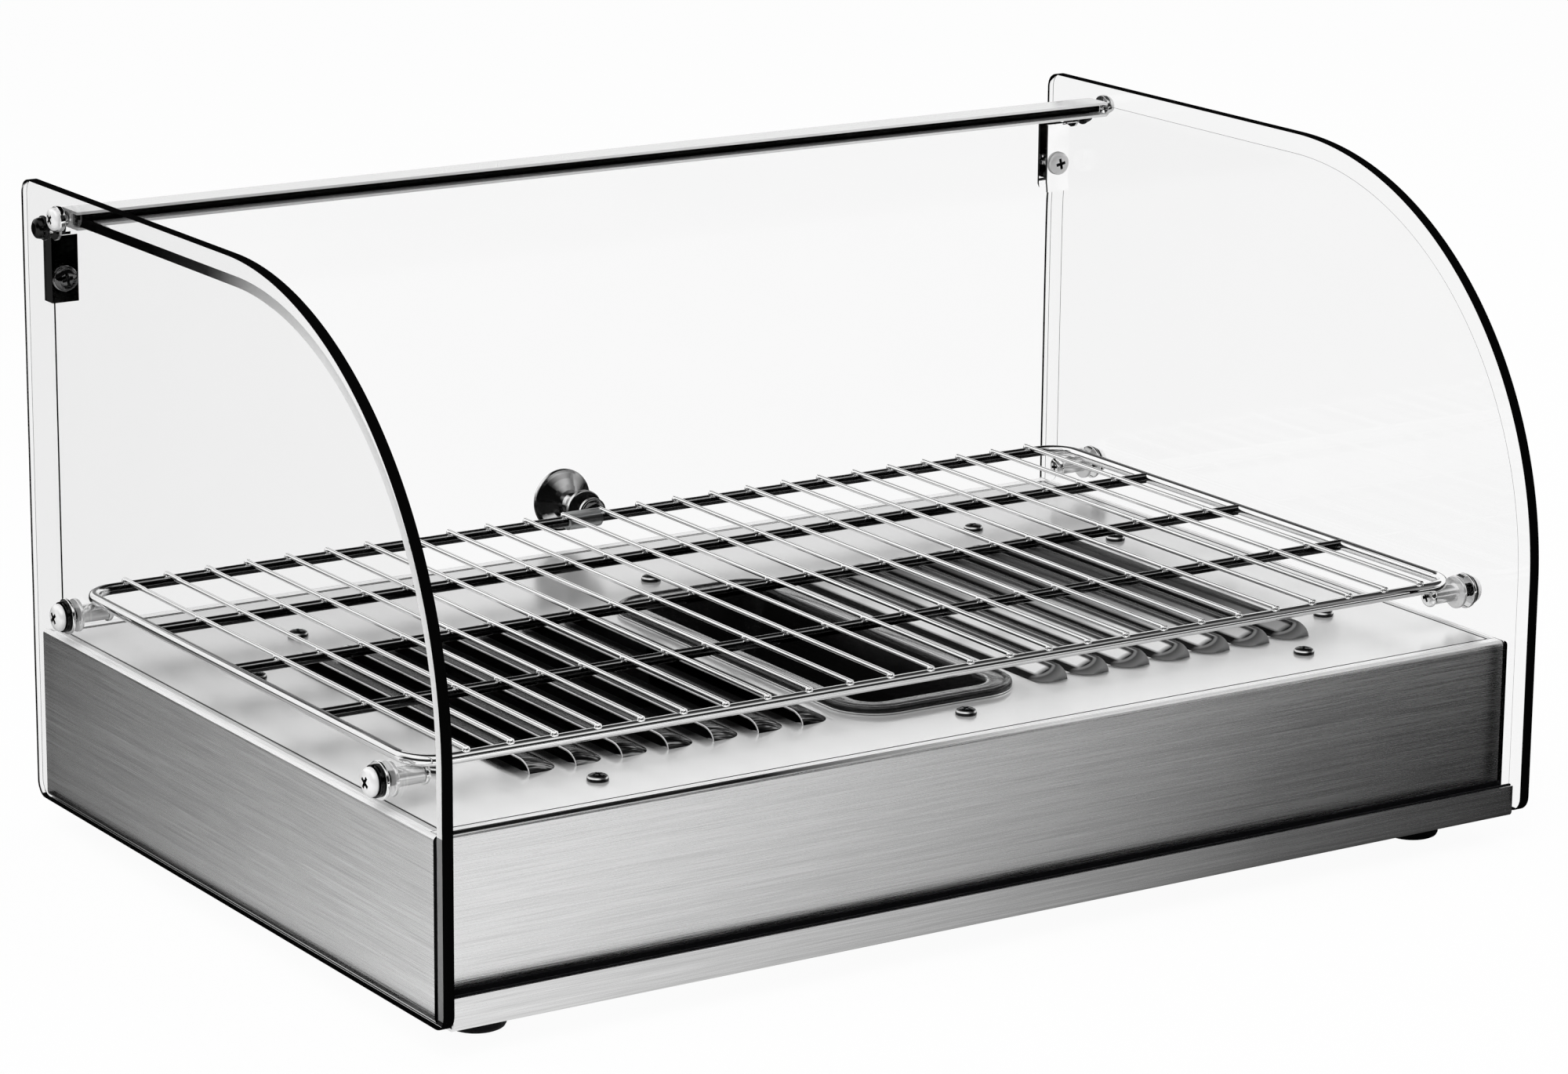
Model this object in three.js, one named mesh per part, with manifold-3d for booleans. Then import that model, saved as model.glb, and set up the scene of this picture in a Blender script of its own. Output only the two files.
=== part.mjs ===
// A counter-top heated display case: a steel heater base, two flat side glasses outside it, a bent
// front glass between them, a hinged rear door and a lift-off wire rack over a louvred top plate.
// Millimetres, +Z up. Inside the case group x is from the middle, y runs back from the front edge
// of the side glasses and z is up from the table.
import * as THREE from 'three';
import { mergeVertices } from 'three/addons/utils/BufferGeometryUtils.js';
import Module from 'manifold-3d';

const wasm = await Module();
wasm.setup();

// Side glasses
const caseWidth = 554;
const glassThick = 5;
const glassDepth = 370;
const glassTop = 294.5;
const glassFoot = 14.2;
const glassArcRadius = 175;
const glassCornerRadius = 7;
const glassHoleGap = 0.6;

// Base casing of folded sheet
const sheet = 1.2;
const foldRadius = 2.2;
const fitGap = 0.3;
const seamGap = 0.4;
const baseBottom = 12.5;
const deckTop = 91.5;
const fasciaFront = 13;
const baseRearInset = 4;
const rimWidth = 6;
const footFlange = 12;

// Front gutter: the lip folded up from the bottom tray and the strip that the bent glass stands in
const lipFront = 3.8;
const lipHeight = 14;
const lipEndGap = 1.4;
const stripFloor = 1.6;
const stripHeight = 13;

// Bent front glass
const frontGlassInset = 6.7;
const frontGlassDrop = 9;
const frontBendRadius = 167;
const frontGlassSideGap = 1;
const railBite = 6;

// Top rail, a channel on the rear edge of the bent glass, with a block in each end for its screw
const railInset = 50;
const railWidth = 15;
const railSheet = 1.2;
const railEndBlock = 6;
const railScrewRadius = 2;
const railHeadRadius = 5;
const railHeadHeight = 3;
const railWasherRadius = 5.6;
const railWasherThick = 2.4;

// Rear door and its hinges
const doorInset = 19;
const doorSideGap = 3;
const doorClearance = 1.5;
const doorCornerRadius = 4;
const pivotToDoor = 4.6;
const pivotDrop = 18.3;
const doorTopDrop = 2.2;
const pinRadius = 2.5;
const pinHeadRadius = 4.7;
const pinHeadHeight = 4.2;
const pinWasherRadius = 5.4;
const pinWasherThick = 1.2;
const pinNutRadius = 3.9;
const pinNutThick = 2.6;
const clipSheet = 1.2;
const clipWidth = 12.5;
const clipBottomDrop = 34.5;
const clipTopDrop = 4.9;
const clipEarRadius = 6;
const clipGlassGap = 0.3;
const clipScrewDrop = 24;
const clipScrewRadius = 2.5;
const clipHeadRadius = 5.6;
const clipHeadHeight = 2.6;
const clipNutRadius = 4.2;
const clipNutThick = 2.4;

// Door knob and the screw that holds it
const knobRadius = 15;
const knobLength = 25;
const knobNeckRadius = 5;
const knobBaseRadius = 9;
const knobBoreRadius = 2.6;
const knobScrewRadius = 2.5;
const knobWasherRadius = 7;
const knobWasherThick = 1.8;
const knobHeadRadius = 5.8;
const knobHeadHeight = 3.1;

// Wire rack
const rackBarRadius = 2.5;
const rackWireRadius = 1.1;
const rackWeld = 0.4;
const rackSideGap = 8.5;
const rackFront = 40.7;
const rackCornerRadius = 14;
const rackWires = 25;
const rackWireOverhang = 1.2;
const rackCrossBarShares = [0.268, 0.522, 0.762];
const sleeveRadius = 4.3;
const sleeveGap = 0.3;

// Stand-offs that carry the rack
const standoffRise = 14;
const standoffRadius = 4;
const standoffLength = 15;
const standoffFlangeRadius = 7.4;
const standoffFlangeThick = 1.6;
const standoffBoreRadius = 2.7;
const standoffFromBar = 8.3;
const boltRadius = 2.4;
const boltReach = 9;
const boltHeadRadius = 6;
const boltHeadHeight = 3.4;
const boltWasherRadius = 8;
const boltWasherThick = 1.4;
const springWasherRadius = 6.8;
const springWasherThick = 2.4;
const capScrewReach = 5;
const capHeadRadius = 4.8;
const capHeadHeight = 2.8;

// Top plate, its louvres and screws
const deckSheet = 1.2;
const deckSkirt = 10;
const louvreCount = 7;
const louvreMargin = 65;
const louvreWidthShare = 0.705;
const louvreHeight = 5.2;
const louvreShort = 13;
const louvreEnd = 9;
const louvreMidShare = 0.45;
const louvreSlotShare = 0.78;
const louvreEndShares = [0.99, 0.72, 0];
const deckScrewRadius = 4.6;
const deckScrewHeight = 2.2;
const deckScrewShare = 0.682;
const deckScrewFrontInset = 24;
const deckScrewRearInset = 62.5;
const deckScrewSideMargin = 37.5;
const deckScrewSideShares = [0.178, 0.8];

// Water pan
const panWidth = 90;
const panLouvreGap = 1;
const panFrontMargin = 14.7;
const panRearMargin = 27.8;
const panCornerRadius = 22;
const panDepth = 38;
const panRimRise = 3.6;
const panRimWidth = 7;
const panLedge = 4.5;
const panWall = 1;
const panDraft = 4;
const panHoleGap = 1;

// Feet
const footRadius = 12.4;
const footTopRadius = 11;
const footInsetX = 36;
const footInsetY = 38;
const footRecessRadius = 5;
const footRecessDepth = 7;

// Inside the base: supports, heat shield and heating elements
const supportEndGap = 21.7;
const supportFlange = 13;
const shieldEndGap = 25.7;
const shieldGap = 5;
const shieldHeight = 34;
const elementRadius = 3.2;
const elementHeight = 62;
const elementPanGap = 50;
const elementMargin = 80;
const elementFrontGap = 12;
const elementRearReach = 26.5;
const elementPinRadius = 1.6;
const elementPinLength = 9;
const saddleMargin = 12;
const saddleShare = 0.5;

// Controls in the rear panel
const controlHeight = 52;
const dialX = -90;
const dialRadius = 16;
const dialSkirtRadius = 19;
const dialSkirt = 3;
const dialLength = 15;
const dialGrip = 5;
const spindleRadius = 3;
const thermostatWidth = 42;
const thermostatHeight = 36;
const thermostatDepth = 22;
const bulbRadius = 3;
const bulbLength = 90;
const capillaryRadius = 1;
const bulbHeight = 44;
const bulbX = -62;
const switchX = -150;
const switchWidth = 15;
const switchHeight = 21;
const bezelThick = 2;
const bezelRim = 2.4;
const switchDepth = 16;
const rockerGap = 0.5;
const rockerDepth = 5;
const rockerProud = 1.6;
const rockerTilt = 6;
const lampX = -190;
const lampRadius = 5.5;
const lampFlangeRadius = 7;
const lampFlangeThick = 1.6;
const lampProud = 4;
const lampDepth = 20;
const glandMargin = 50;
const glandHeight = 40;
const glandRadius = 11;
const glandNutThick = 5;
const glandLength = 15;
const glandTipRadius = 7;
const glandBoreRadius = 4.2;
const glandThreadRadius = 8;
const blockX = 165;
const blockWidth = 46;
const blockDepth = 18;
const blockHeight = 17;
const blockWays = 4;
const blockSlot = 6;

// Profiles as shares of a radius and of a length along the axis
const headShares = [[1, 0], [1, 0.33], [0.8, 0.8], [0.45, 1], [0, 1]];
const deckScrewShares = [[1, 0], [1, 0.4], [0.6, 1], [0, 1]];
const domeShares = [[1, 0], [0.92, 0.5], [0.6, 0.88], [0, 1]];
const knobFootShares = [[1, 0], [1, 0.1], [0.72, 0.22]];
const knobNeckShares = [[1, 0.4], [1.25, 0.55]];
const knobFaceShares = [[0.72, 0.72], [1, 0.82], [1, 0.9], [0.9, 0.97], [0.55, 1], [0, 1]];
const knobBoreShare = 0.7;
const dialTaperShare = 0.9;
const dialGripShare = 0.88;
const glandNutShare = 0.9;

// Roundness, and how far a cut runs past what it cuts
const bendSteps = 24;
const roundSides = 24;
const smallSides = 12;
const tubeSides = 8;
const wireSides = 6;
const louvreSteps = 3;
const overrun = 1;

// Places worked out from the sizes above
const half = caseWidth / 2;
const baseRear = glassDepth - baseRearInset;
const railFront = glassDepth - railInset;
const pivotHeight = glassTop - pivotDrop;
const innerFace = half - glassThick;
const panelFace = innerFace - fitGap;
const trayTop = baseBottom + sheet;
const lipHalf = innerFace - lipEndGap;
const panelInside = panelFace - foldRadius - fitGap;
const frontGlassTop = glassTop - frontGlassDrop;
const frontBendHeight = frontGlassTop - frontBendRadius;
const frontBendY = frontGlassInset + frontBendRadius;
const stripRear = fasciaFront - fitGap;
const stripFront = lipFront + sheet + fitGap;
const frontGlassFoot = trayTop + fitGap + stripFloor + fitGap;
const frontGlassRear = railFront + railBite;
const railTop = frontGlassTop + fitGap + railSheet;
const railBottom = frontGlassTop - glassThick - fitGap - railSheet;
const railHalf = innerFace - fitGap;
const railScrewY = frontGlassRear + fitGap + (railFront + railWidth - railSheet - frontGlassRear) / 2;
const railScrewZ = (railTop + railBottom) / 2;
const doorFront = glassDepth - doorInset;
const doorRear = doorFront + glassThick;
const pivotY = doorFront - pivotToDoor;
const clipFace = innerFace - doorSideGap / 2;
const doorHalf = clipFace - clipSheet - clipGlassGap;
const doorTop = pivotHeight - doorTopDrop;
const doorBottom = deckTop + doorClearance;
const clipScrewX = clipFace - clipWidth / 2;
const clipScrewZ = pivotHeight - clipScrewDrop;
const clipFront = doorFront - clipGlassGap - clipSheet;
const clipRear = doorRear + clipGlassGap + clipSheet;
const standoffZ = deckTop + standoffRise;
const rackZ = standoffZ + standoffRadius + fitGap + rackBarRadius;
const knobHeadReach = knobWasherThick + knobHeadHeight;
const rackRear = doorFront - knobHeadReach - fitGap - sleeveRadius;
const rackHalf = innerFace - rackSideGap;
const rackPitch = (2 * rackHalf) / (rackWires + 1);
const standoffYs = { front: rackFront + standoffFromBar, rear: rackRear - standoffFromBar - fitGap };
const deckHalf = panelFace - rimWidth - seamGap;
const deckFront = fasciaFront + rimWidth + seamGap;
const deckRear = baseRear - rimWidth - seamGap;
const deckUnder = deckTop - deckSheet;
const deckScrewX = deckHalf * deckScrewShare;
const deckScrewFrontY = deckFront + deckScrewFrontInset;
const deckScrewRearY = deckRear - deckScrewRearInset;
const deckScrewSideX = deckHalf - deckScrewSideMargin;
const panFront = deckScrewFrontY + panFrontMargin;
const panRear = deckScrewRearY - panRearMargin;
const panMiddleY = (panFront + panRear) / 2;
const panLength = panRear - panFront;
const deckScrewSideYs = deckScrewSideShares.map((share) =>
  deckScrewFrontY + share * (deckScrewRearY - deckScrewFrontY));
const louvreLength = panLength - louvreShort;
const louvreOuterX = deckHalf - louvreMargin;
const louvrePitch = (louvreOuterX - panWidth / 2 - panLouvreGap) / louvreCount;
const louvreWidth = louvrePitch * louvreWidthShare;
const supportTop = deckUnder - fitGap;
const supportFoot = trayTop + fitGap;
const frontSupportY = deckScrewFrontY - supportFlange / 2;
const rearSupportY = deckScrewRearY + supportFlange / 2;
const supportHalf = panelFace - supportEndGap;
const shieldHalf = panelFace - shieldEndGap;
const shieldFront = frontSupportY + supportFlange + shieldGap;
const shieldRear = rearSupportY - supportFlange - shieldGap;
const elementInnerX = panWidth / 2 + elementPanGap;
const elementOuterX = deckHalf - elementMargin;
const elementFront = shieldFront + elementFrontGap;
const elementRear = rearSupportY + elementRearReach;
const saddleY = shieldFront + saddleShare * (shieldRear - shieldFront);
const glandX = deckHalf - glandMargin;
const panelRearFace = baseRear;
const panelRearInside = baseRear - sheet;
const overallDepth = Math.max(doorRear + knobLength, baseRear + dialLength, baseRear + glandLength) + fitGap;

// Shapes and solids
const unitX = new THREE.Vector3(1, 0, 0);
const unitY = new THREE.Vector3(0, 1, 0);
const unitZ = new THREE.Vector3(0, 0, 1);

function signedVolume(points, index) {
  const a = new THREE.Vector3();
  const b = new THREE.Vector3();
  const c = new THREE.Vector3();
  let sum = 0;
  for (let i = 0; i < index.length; i += 3) {
    a.fromArray(points, 3 * index[i]);
    b.fromArray(points, 3 * index[i + 1]);
    c.fromArray(points, 3 * index[i + 2]);
    sum += a.dot(b.cross(c));
  }
  return sum / 6;
}

function solid(geometry) {
  const bare = geometry.clone();
  bare.deleteAttribute('normal');
  bare.deleteAttribute('uv');
  const merged = mergeVertices(bare);
  const source = merged.index.array;
  const points = merged.attributes.position.array;
  const index = [];
  for (let i = 0; i < source.length; i += 3) {
    const [a, b, c] = [source[i], source[i + 1], source[i + 2]];
    if (a !== b && b !== c && c !== a) index.push(a, b, c);
  }
  if (signedVolume(points, index) < 0) index.reverse();
  return new wasm.Manifold(new wasm.Mesh({
    numProp: 3,
    vertProperties: new Float32Array(points),
    triVerts: new Uint32Array(index),
  }));
}

function geometryOf(body) {
  const mesh = body.getMesh();
  const geometry = new THREE.BufferGeometry();
  geometry.setAttribute('position', new THREE.BufferAttribute(mesh.vertProperties, 3));
  geometry.setIndex(new THREE.BufferAttribute(mesh.triVerts, 1));
  geometry.computeVertexNormals();
  return geometry;
}

function join(...bodies) {
  return bodies.reduce((sum, body) => sum.add(body));
}

function cut(body, ...tools) {
  return tools.reduce((rest, tool) => rest.subtract(tool), body);
}

function mirrored(body) {
  return solid(geometryOf(body).scale(-1, 1, 1));
}

function block(x0, x1, y0, y1, z0, z1) {
  const geometry = new THREE.BoxGeometry(x1 - x0, y1 - y0, z1 - z0);
  return solid(geometry.translate((x0 + x1) / 2, (y0 + y1) / 2, (z0 + z1) / 2));
}

// Shares of a radius and a length as a profile from a place along the axis.
function scaled(shares, radius, from, length) {
  return shares.map(([across, along]) => [radius * across, from + length * along]);
}

// Domed screw head that grows along the axis, or against it where the height is negative.
function head(radius, from, height) {
  return scaled(headShares, radius, from, height);
}

// A flat shape drawn across an axis and carried along it: across x it is drawn in (y, z),
// across y in (x, z) and across z in (x, y).
function prism(shape, axis, from, to, curveSegments = smallSides / 4) {
  const depth = to - from;
  const geometry = new THREE.ExtrudeGeometry(shape, { depth, bevelEnabled: false, curveSegments });
  const turn = new THREE.Matrix4();
  if (axis === 'x') turn.makeBasis(unitY, unitZ, unitX).setPosition(from, 0, 0);
  if (axis === 'y') turn.makeBasis(unitX, unitZ, unitY.clone().negate()).setPosition(0, to, 0);
  if (axis === 'z') turn.setPosition(0, 0, from);
  return solid(geometry.applyMatrix4(turn));
}

// A profile of (radius, along) points turned round a line along an axis through a centre.
function turned(profile, axis, centre, sides = smallSides) {
  const points = profile.map(([r, along]) => new THREE.Vector2(r, along));
  const geometry = new THREE.LatheGeometry(points, sides);
  if (axis === 'x') geometry.rotateZ(-Math.PI / 2);
  if (axis === 'z') geometry.rotateX(Math.PI / 2);
  return solid(geometry.translate(...centre));
}

function rod(axis, radius, from, to, centre, sides = smallSides) {
  return turned([[0, from], [radius, from], [radius, to], [0, to]], axis, centre, sides);
}

function roundedRectangle(x0, x1, y0, y1, radius) {
  const shape = new THREE.Shape();
  shape.moveTo(x0 + radius, y0);
  shape.lineTo(x1 - radius, y0);
  shape.absarc(x1 - radius, y0 + radius, radius, -Math.PI / 2, 0);
  shape.lineTo(x1, y1 - radius);
  shape.absarc(x1 - radius, y1 - radius, radius, 0, Math.PI / 2);
  shape.lineTo(x0 + radius, y1);
  shape.absarc(x0 + radius, y1 - radius, radius, Math.PI / 2, Math.PI);
  shape.lineTo(x0, y0 + radius);
  shape.absarc(x0 + radius, y0 + radius, radius, Math.PI, 1.5 * Math.PI);
  return shape;
}

function polygon(points) {
  return new THREE.Shape(points.map(([u, v]) => new THREE.Vector2(u, v)));
}

// A closed skin over rings of equal length, joined end to end or capped at both ends.
function lofted(rings, looped = false) {
  const count = rings[0].length;
  const geometry = new THREE.BufferGeometry();
  const points = rings.flat().flatMap((p) => [p.x, p.y, p.z]);
  const index = [];
  const spans = looped ? rings.length : rings.length - 1;
  for (let i = 0; i < spans; i += 1) {
    const low = i * count;
    const high = ((i + 1) % rings.length) * count;
    for (let j = 0; j < count; j += 1) {
      const k = (j + 1) % count;
      index.push(low + j, low + k, high + k, low + j, high + k, high + j);
    }
  }
  if (!looped) {
    const last = (rings.length - 1) * count;
    for (let j = 1; j < count - 1; j += 1) {
      index.push(0, j + 1, j, last, last + j, last + j + 1);
    }
  }
  geometry.setAttribute('position', new THREE.Float32BufferAttribute(points, 3));
  geometry.setIndex(index);
  return solid(geometry);
}

// A round tube along a level centre line, looped or with flat ends.
function levelTube(line, radius, sides, looped = false) {
  const rings = line.map((here, i) => {
    const before = line[looped ? (i + line.length - 1) % line.length : Math.max(i - 1, 0)];
    const after = line[looped ? (i + 1) % line.length : Math.min(i + 1, line.length - 1)];
    const along = after.clone().sub(before).normalize();
    const across = new THREE.Vector3(-along.y, along.x, 0);
    return Array.from({ length: sides }, (_, k) => {
      const turn = (2 * Math.PI * (k + 0.5)) / sides;
      const out = across.clone().multiplyScalar(radius * Math.cos(turn));
      return here.clone().add(out).addScaledVector(unitZ, radius * Math.sin(turn));
    });
  });
  return lofted(rings, looped);
}

function arcPoints(x, y, z, radius, start, end, steps) {
  return Array.from({ length: steps + 1 }, (_, i) => {
    const turn = start + ((end - start) * i) / steps;
    return new THREE.Vector3(x + radius * Math.cos(turn), y + radius * Math.sin(turn), z);
  });
}

// Materials, one for each finish
function finish(color, roughness, metalness, extra = {}) {
  return new THREE.MeshStandardMaterial({ color, roughness, metalness, ...extra });
}
const brushed = finish(0xa8a9aa, 0.35, 1);
const satin = finish(0xc9cacb, 0.45, 1);
const chrome = finish(0xd8d9da, 0.12, 1);
const heater = finish(0x4a4846, 0.55, 0.8);
const glass = finish(0xeef4f2, 0.03, 0, { transparent: true, opacity: 0.25 });
const rubber = finish(0x141414, 0.75, 0);
const clearRubber = finish(0xd9dcdc, 0.3, 0);
const plastic = finish(0x1c1c1e, 0.5, 0);
const lampRed = finish(0xb8281c, 0.2, 0);
const ceramic = finish(0xe3ddcf, 0.6, 0);

const caseGroup = new THREE.Group();

function place(name, body, material, parent = caseGroup) {
  const mesh = new THREE.Mesh(geometryOf(body), material);
  mesh.name = name;
  parent.add(mesh);
  return mesh;
}

const sides = [['left', -1], ['right', 1]];

function placePair(stem, rightBody, material) {
  place(`${stem}_left`, mirrored(rightBody), material);
  place(`${stem}_right`, rightBody, material);
}

// Flat side glass: straight top, one big arc down to the front edge, small rounded corners.
function sideGlass() {
  const arcY = glassArcRadius;
  const arcZ = glassTop - glassArcRadius;
  const r = glassCornerRadius;
  const outline = new THREE.Shape();
  outline.moveTo(r, glassFoot);
  outline.lineTo(glassDepth - r, glassFoot);
  outline.absarc(glassDepth - r, glassFoot + r, r, -Math.PI / 2, 0);
  outline.lineTo(glassDepth, glassTop - r);
  outline.absarc(glassDepth - r, glassTop - r, r, 0, Math.PI / 2);
  outline.lineTo(arcY, glassTop);
  for (let i = 1; i <= bendSteps; i += 1) {
    const turn = Math.PI / 2 + (Math.PI / 2) * (i / bendSteps);
    const reach = glassArcRadius;
    outline.lineTo(arcY + reach * Math.cos(turn), arcZ + reach * Math.sin(turn));
  }
  outline.lineTo(0, glassFoot + r);
  outline.absarc(r, glassFoot + r, r, Math.PI, 1.5 * Math.PI);
  const plate = prism(outline, 'x', innerFace, half);
  const holes = [
    [boltRadius, standoffYs.front, standoffZ],
    [boltRadius, standoffYs.rear, standoffZ],
    [railScrewRadius, railScrewY, railScrewZ],
    [pinRadius, pivotY, pivotHeight],
  ].map(([radius, y, z]) => rod('x', radius + glassHoleGap, innerFace - overrun, half + overrun, [0, y, z]));
  return cut(plate, ...holes);
}

// Bent front glass: up from the gutter, round the bend and back level to the rail.
function frontGlass() {
  const outer = frontBendRadius;
  const inner = frontBendRadius - glassThick;
  const outline = [];
  for (let i = 0; i <= bendSteps; i += 1) {
    const turn = Math.PI - (Math.PI / 2) * (i / bendSteps);
    outline.push([frontBendY + outer * Math.cos(turn), frontBendHeight + outer * Math.sin(turn)]);
  }
  outline.push([frontGlassRear, frontGlassTop], [frontGlassRear, frontGlassTop - glassThick]);
  for (let i = 0; i <= bendSteps; i += 1) {
    const turn = Math.PI / 2 + (Math.PI / 2) * (i / bendSteps);
    outline.push([frontBendY + inner * Math.cos(turn), frontBendHeight + inner * Math.sin(turn)]);
  }
  outline.push([frontGlassInset + glassThick, frontGlassFoot], [frontGlassInset, frontGlassFoot]);
  const reach = innerFace - frontGlassSideGap;
  return prism(polygon(outline), 'x', -reach, reach);
}

// Black channel strip in the gutter, with the foot of the bent glass in its groove.
function gutterStrip() {
  const floor = trayTop + fitGap;
  const top = floor + stripHeight;
  const grooveFront = frontGlassInset - fitGap;
  const grooveRear = frontGlassInset + glassThick + fitGap;
  const body = block(-lipHalf, lipHalf, stripFront, stripRear, floor, top);
  const groove = block(-half, half, grooveFront, grooveRear, floor + stripFloor, top + overrun);
  return cut(body, groove);
}

// Folded corner of a sheet, drawn from the outside edge round to the inside.
function foldArc(shape, u, v, start, end) {
  shape.absarc(u, v, foldRadius, start, end, start > end);
}

// Bottom tray: the floor of the base, with its front edge folded up as the gutter lip.
function bottomTray() {
  const rear = panelRearInside - fitGap;
  const outline = new THREE.Shape();
  outline.moveTo(rear, baseBottom);
  outline.lineTo(rear, trayTop);
  outline.lineTo(lipFront + sheet, trayTop);
  outline.lineTo(lipFront + sheet, baseBottom + lipHeight);
  outline.lineTo(lipFront, baseBottom + lipHeight);
  outline.lineTo(lipFront, baseBottom + foldRadius);
  foldArc(outline, lipFront + foldRadius, baseBottom + foldRadius, Math.PI, 1.5 * Math.PI);
  return prism(outline, 'x', -lipHalf, lipHalf);
}

// Section of a casing wall: a foot flange, the wall and a rim flange folded in at the top. The
// wall's outer face lies at u = face and the flanges run towards the inside, in the sense given.
function wallSection(face, sense) {
  const at = (offset) => face + sense * offset;
  const r = foldRadius;
  const floor = trayTop + fitGap;
  const outline = [[at(footFlange), floor], [at(r), floor]];
  for (let i = 0; i <= tubeSides / 2; i += 1) {
    const turn = ((Math.PI / 2) * i) / (tubeSides / 2);
    outline.push([at(r - r * Math.sin(turn)), floor + r - r * Math.cos(turn)]);
  }
  for (let i = 0; i <= tubeSides / 2; i += 1) {
    const turn = ((Math.PI / 2) * i) / (tubeSides / 2);
    outline.push([at(r - r * Math.cos(turn)), deckTop - r + r * Math.sin(turn)]);
  }
  outline.push([at(rimWidth), deckTop], [at(rimWidth), deckTop - sheet]);
  outline.push([at(sheet), deckTop - sheet], [at(sheet), floor + sheet], [at(footFlange), floor + sheet]);
  return polygon(outline);
}

// Side wall of the base, with its flanges cut back where the front and rear walls stand.
function sidePanel() {
  const wall = prism(wallSection(panelFace, -1), 'y', fasciaFront, baseRear);
  const inside = panelFace - foldRadius;
  const cleared = [[fasciaFront - overrun, fasciaFront + footFlange + fitGap],
    [baseRear - footFlange - fitGap, baseRear + overrun]];
  const footTop = trayTop + fitGap + foldRadius + overrun;
  const notches = cleared.map(([from, to]) =>
    block(inside - footFlange, inside, from, to, trayTop - overrun, footTop));
  const rims = [[fasciaFront - overrun, fasciaFront + rimWidth + fitGap],
    [baseRear - rimWidth - fitGap, baseRear + overrun]];
  const rimNotches = rims.map(([from, to]) =>
    block(inside - rimWidth, inside, from, to, deckTop - foldRadius - overrun, deckTop + overrun));
  return cut(wall, ...notches, ...rimNotches);
}

function frontFascia() {
  return prism(wallSection(fasciaFront, 1), 'x', -panelInside, panelInside);
}

// Rear wall with the holes for its controls.
function rearPanel() {
  const wall = prism(wallSection(baseRear, -1), 'x', -panelInside, panelInside);
  const from = panelRearInside - overrun;
  const to = baseRear + overrun;
  const across = switchWidth / 2 + fitGap;
  const up = switchHeight / 2 + fitGap;
  return cut(
    wall,
    rod('y', spindleRadius + fitGap, from, to, [dialX, 0, controlHeight]),
    rod('y', lampRadius + fitGap, from, to, [lampX, 0, controlHeight]),
    rod('y', glandThreadRadius + fitGap, from, to, [glandX, 0, glandHeight]),
    block(switchX - across, switchX + across, from, to, controlHeight - up, controlHeight + up),
  );
}

// One stamped louvre of the right bank. Its mouth is open towards +x at x = mouthX and its hood
// slopes down to the plate on the inner side. The hood's ends round down to the plate.
function louvreSection(width, height, drop, mouthX, y) {
  const points = [new THREE.Vector3(mouthX, y, deckTop - drop), new THREE.Vector3(mouthX, y, deckTop + height)];
  for (let i = 1; i <= louvreSteps; i += 1) {
    const t = i / louvreSteps;
    const along = 2 * t * (1 - t) * louvreMidShare + t * t;
    const rise = (1 - t) * (1 - t) + 2 * t * (1 - t);
    points.push(new THREE.Vector3(mouthX - width * along, y, deckTop + height * rise));
  }
  points.push(new THREE.Vector3(mouthX - width, y, deckTop - drop));
  return points;
}

function louvreStations(halfLength) {
  const ends = louvreEndShares.map((u) => [halfLength - louvreEnd * (1 - u), Math.sqrt(1 - u * u)]);
  const front = ends.map(([offset, scale]) => [-offset, scale]);
  const rear = [...ends].reverse();
  return [...front, ...rear];
}

function louvreHood(mouthX) {
  const rings = louvreStations(louvreLength / 2).map(([offset, scale]) =>
    louvreSection(louvreWidth, louvreHeight * scale, deckSheet, mouthX, panMiddleY + offset));
  return lofted(rings);
}

function louvreVoid(mouthX) {
  const halfLength = louvreLength / 2 - deckSheet;
  const rings = louvreStations(halfLength).map(([offset, scale]) => {
    const height = Math.max(louvreHeight * scale - deckSheet, deckSheet * louvreMidShare);
    const width = louvreWidth - 2 * deckSheet + overrun;
    return louvreSection(width, height, 0, mouthX + overrun, panMiddleY + offset);
  });
  return lofted(rings);
}

function louvreSlot(mouthX) {
  const reach = louvreLength / 2 - louvreEnd / 2;
  return block(mouthX - louvreWidth * louvreSlotShare, mouthX, panMiddleY - reach, panMiddleY + reach,
    deckUnder - overrun, deckTop + deckSheet * louvreMidShare);
}

function deckScrew(x, y) {
  const seat = deckTop - deckSheet / 2;
  const crown = scaled(deckScrewShares, deckScrewRadius, seat, deckScrewHeight + deckSheet / 2);
  return turned([[0, seat], ...crown], 'z', [x, y, 0], tubeSides);
}

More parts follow.
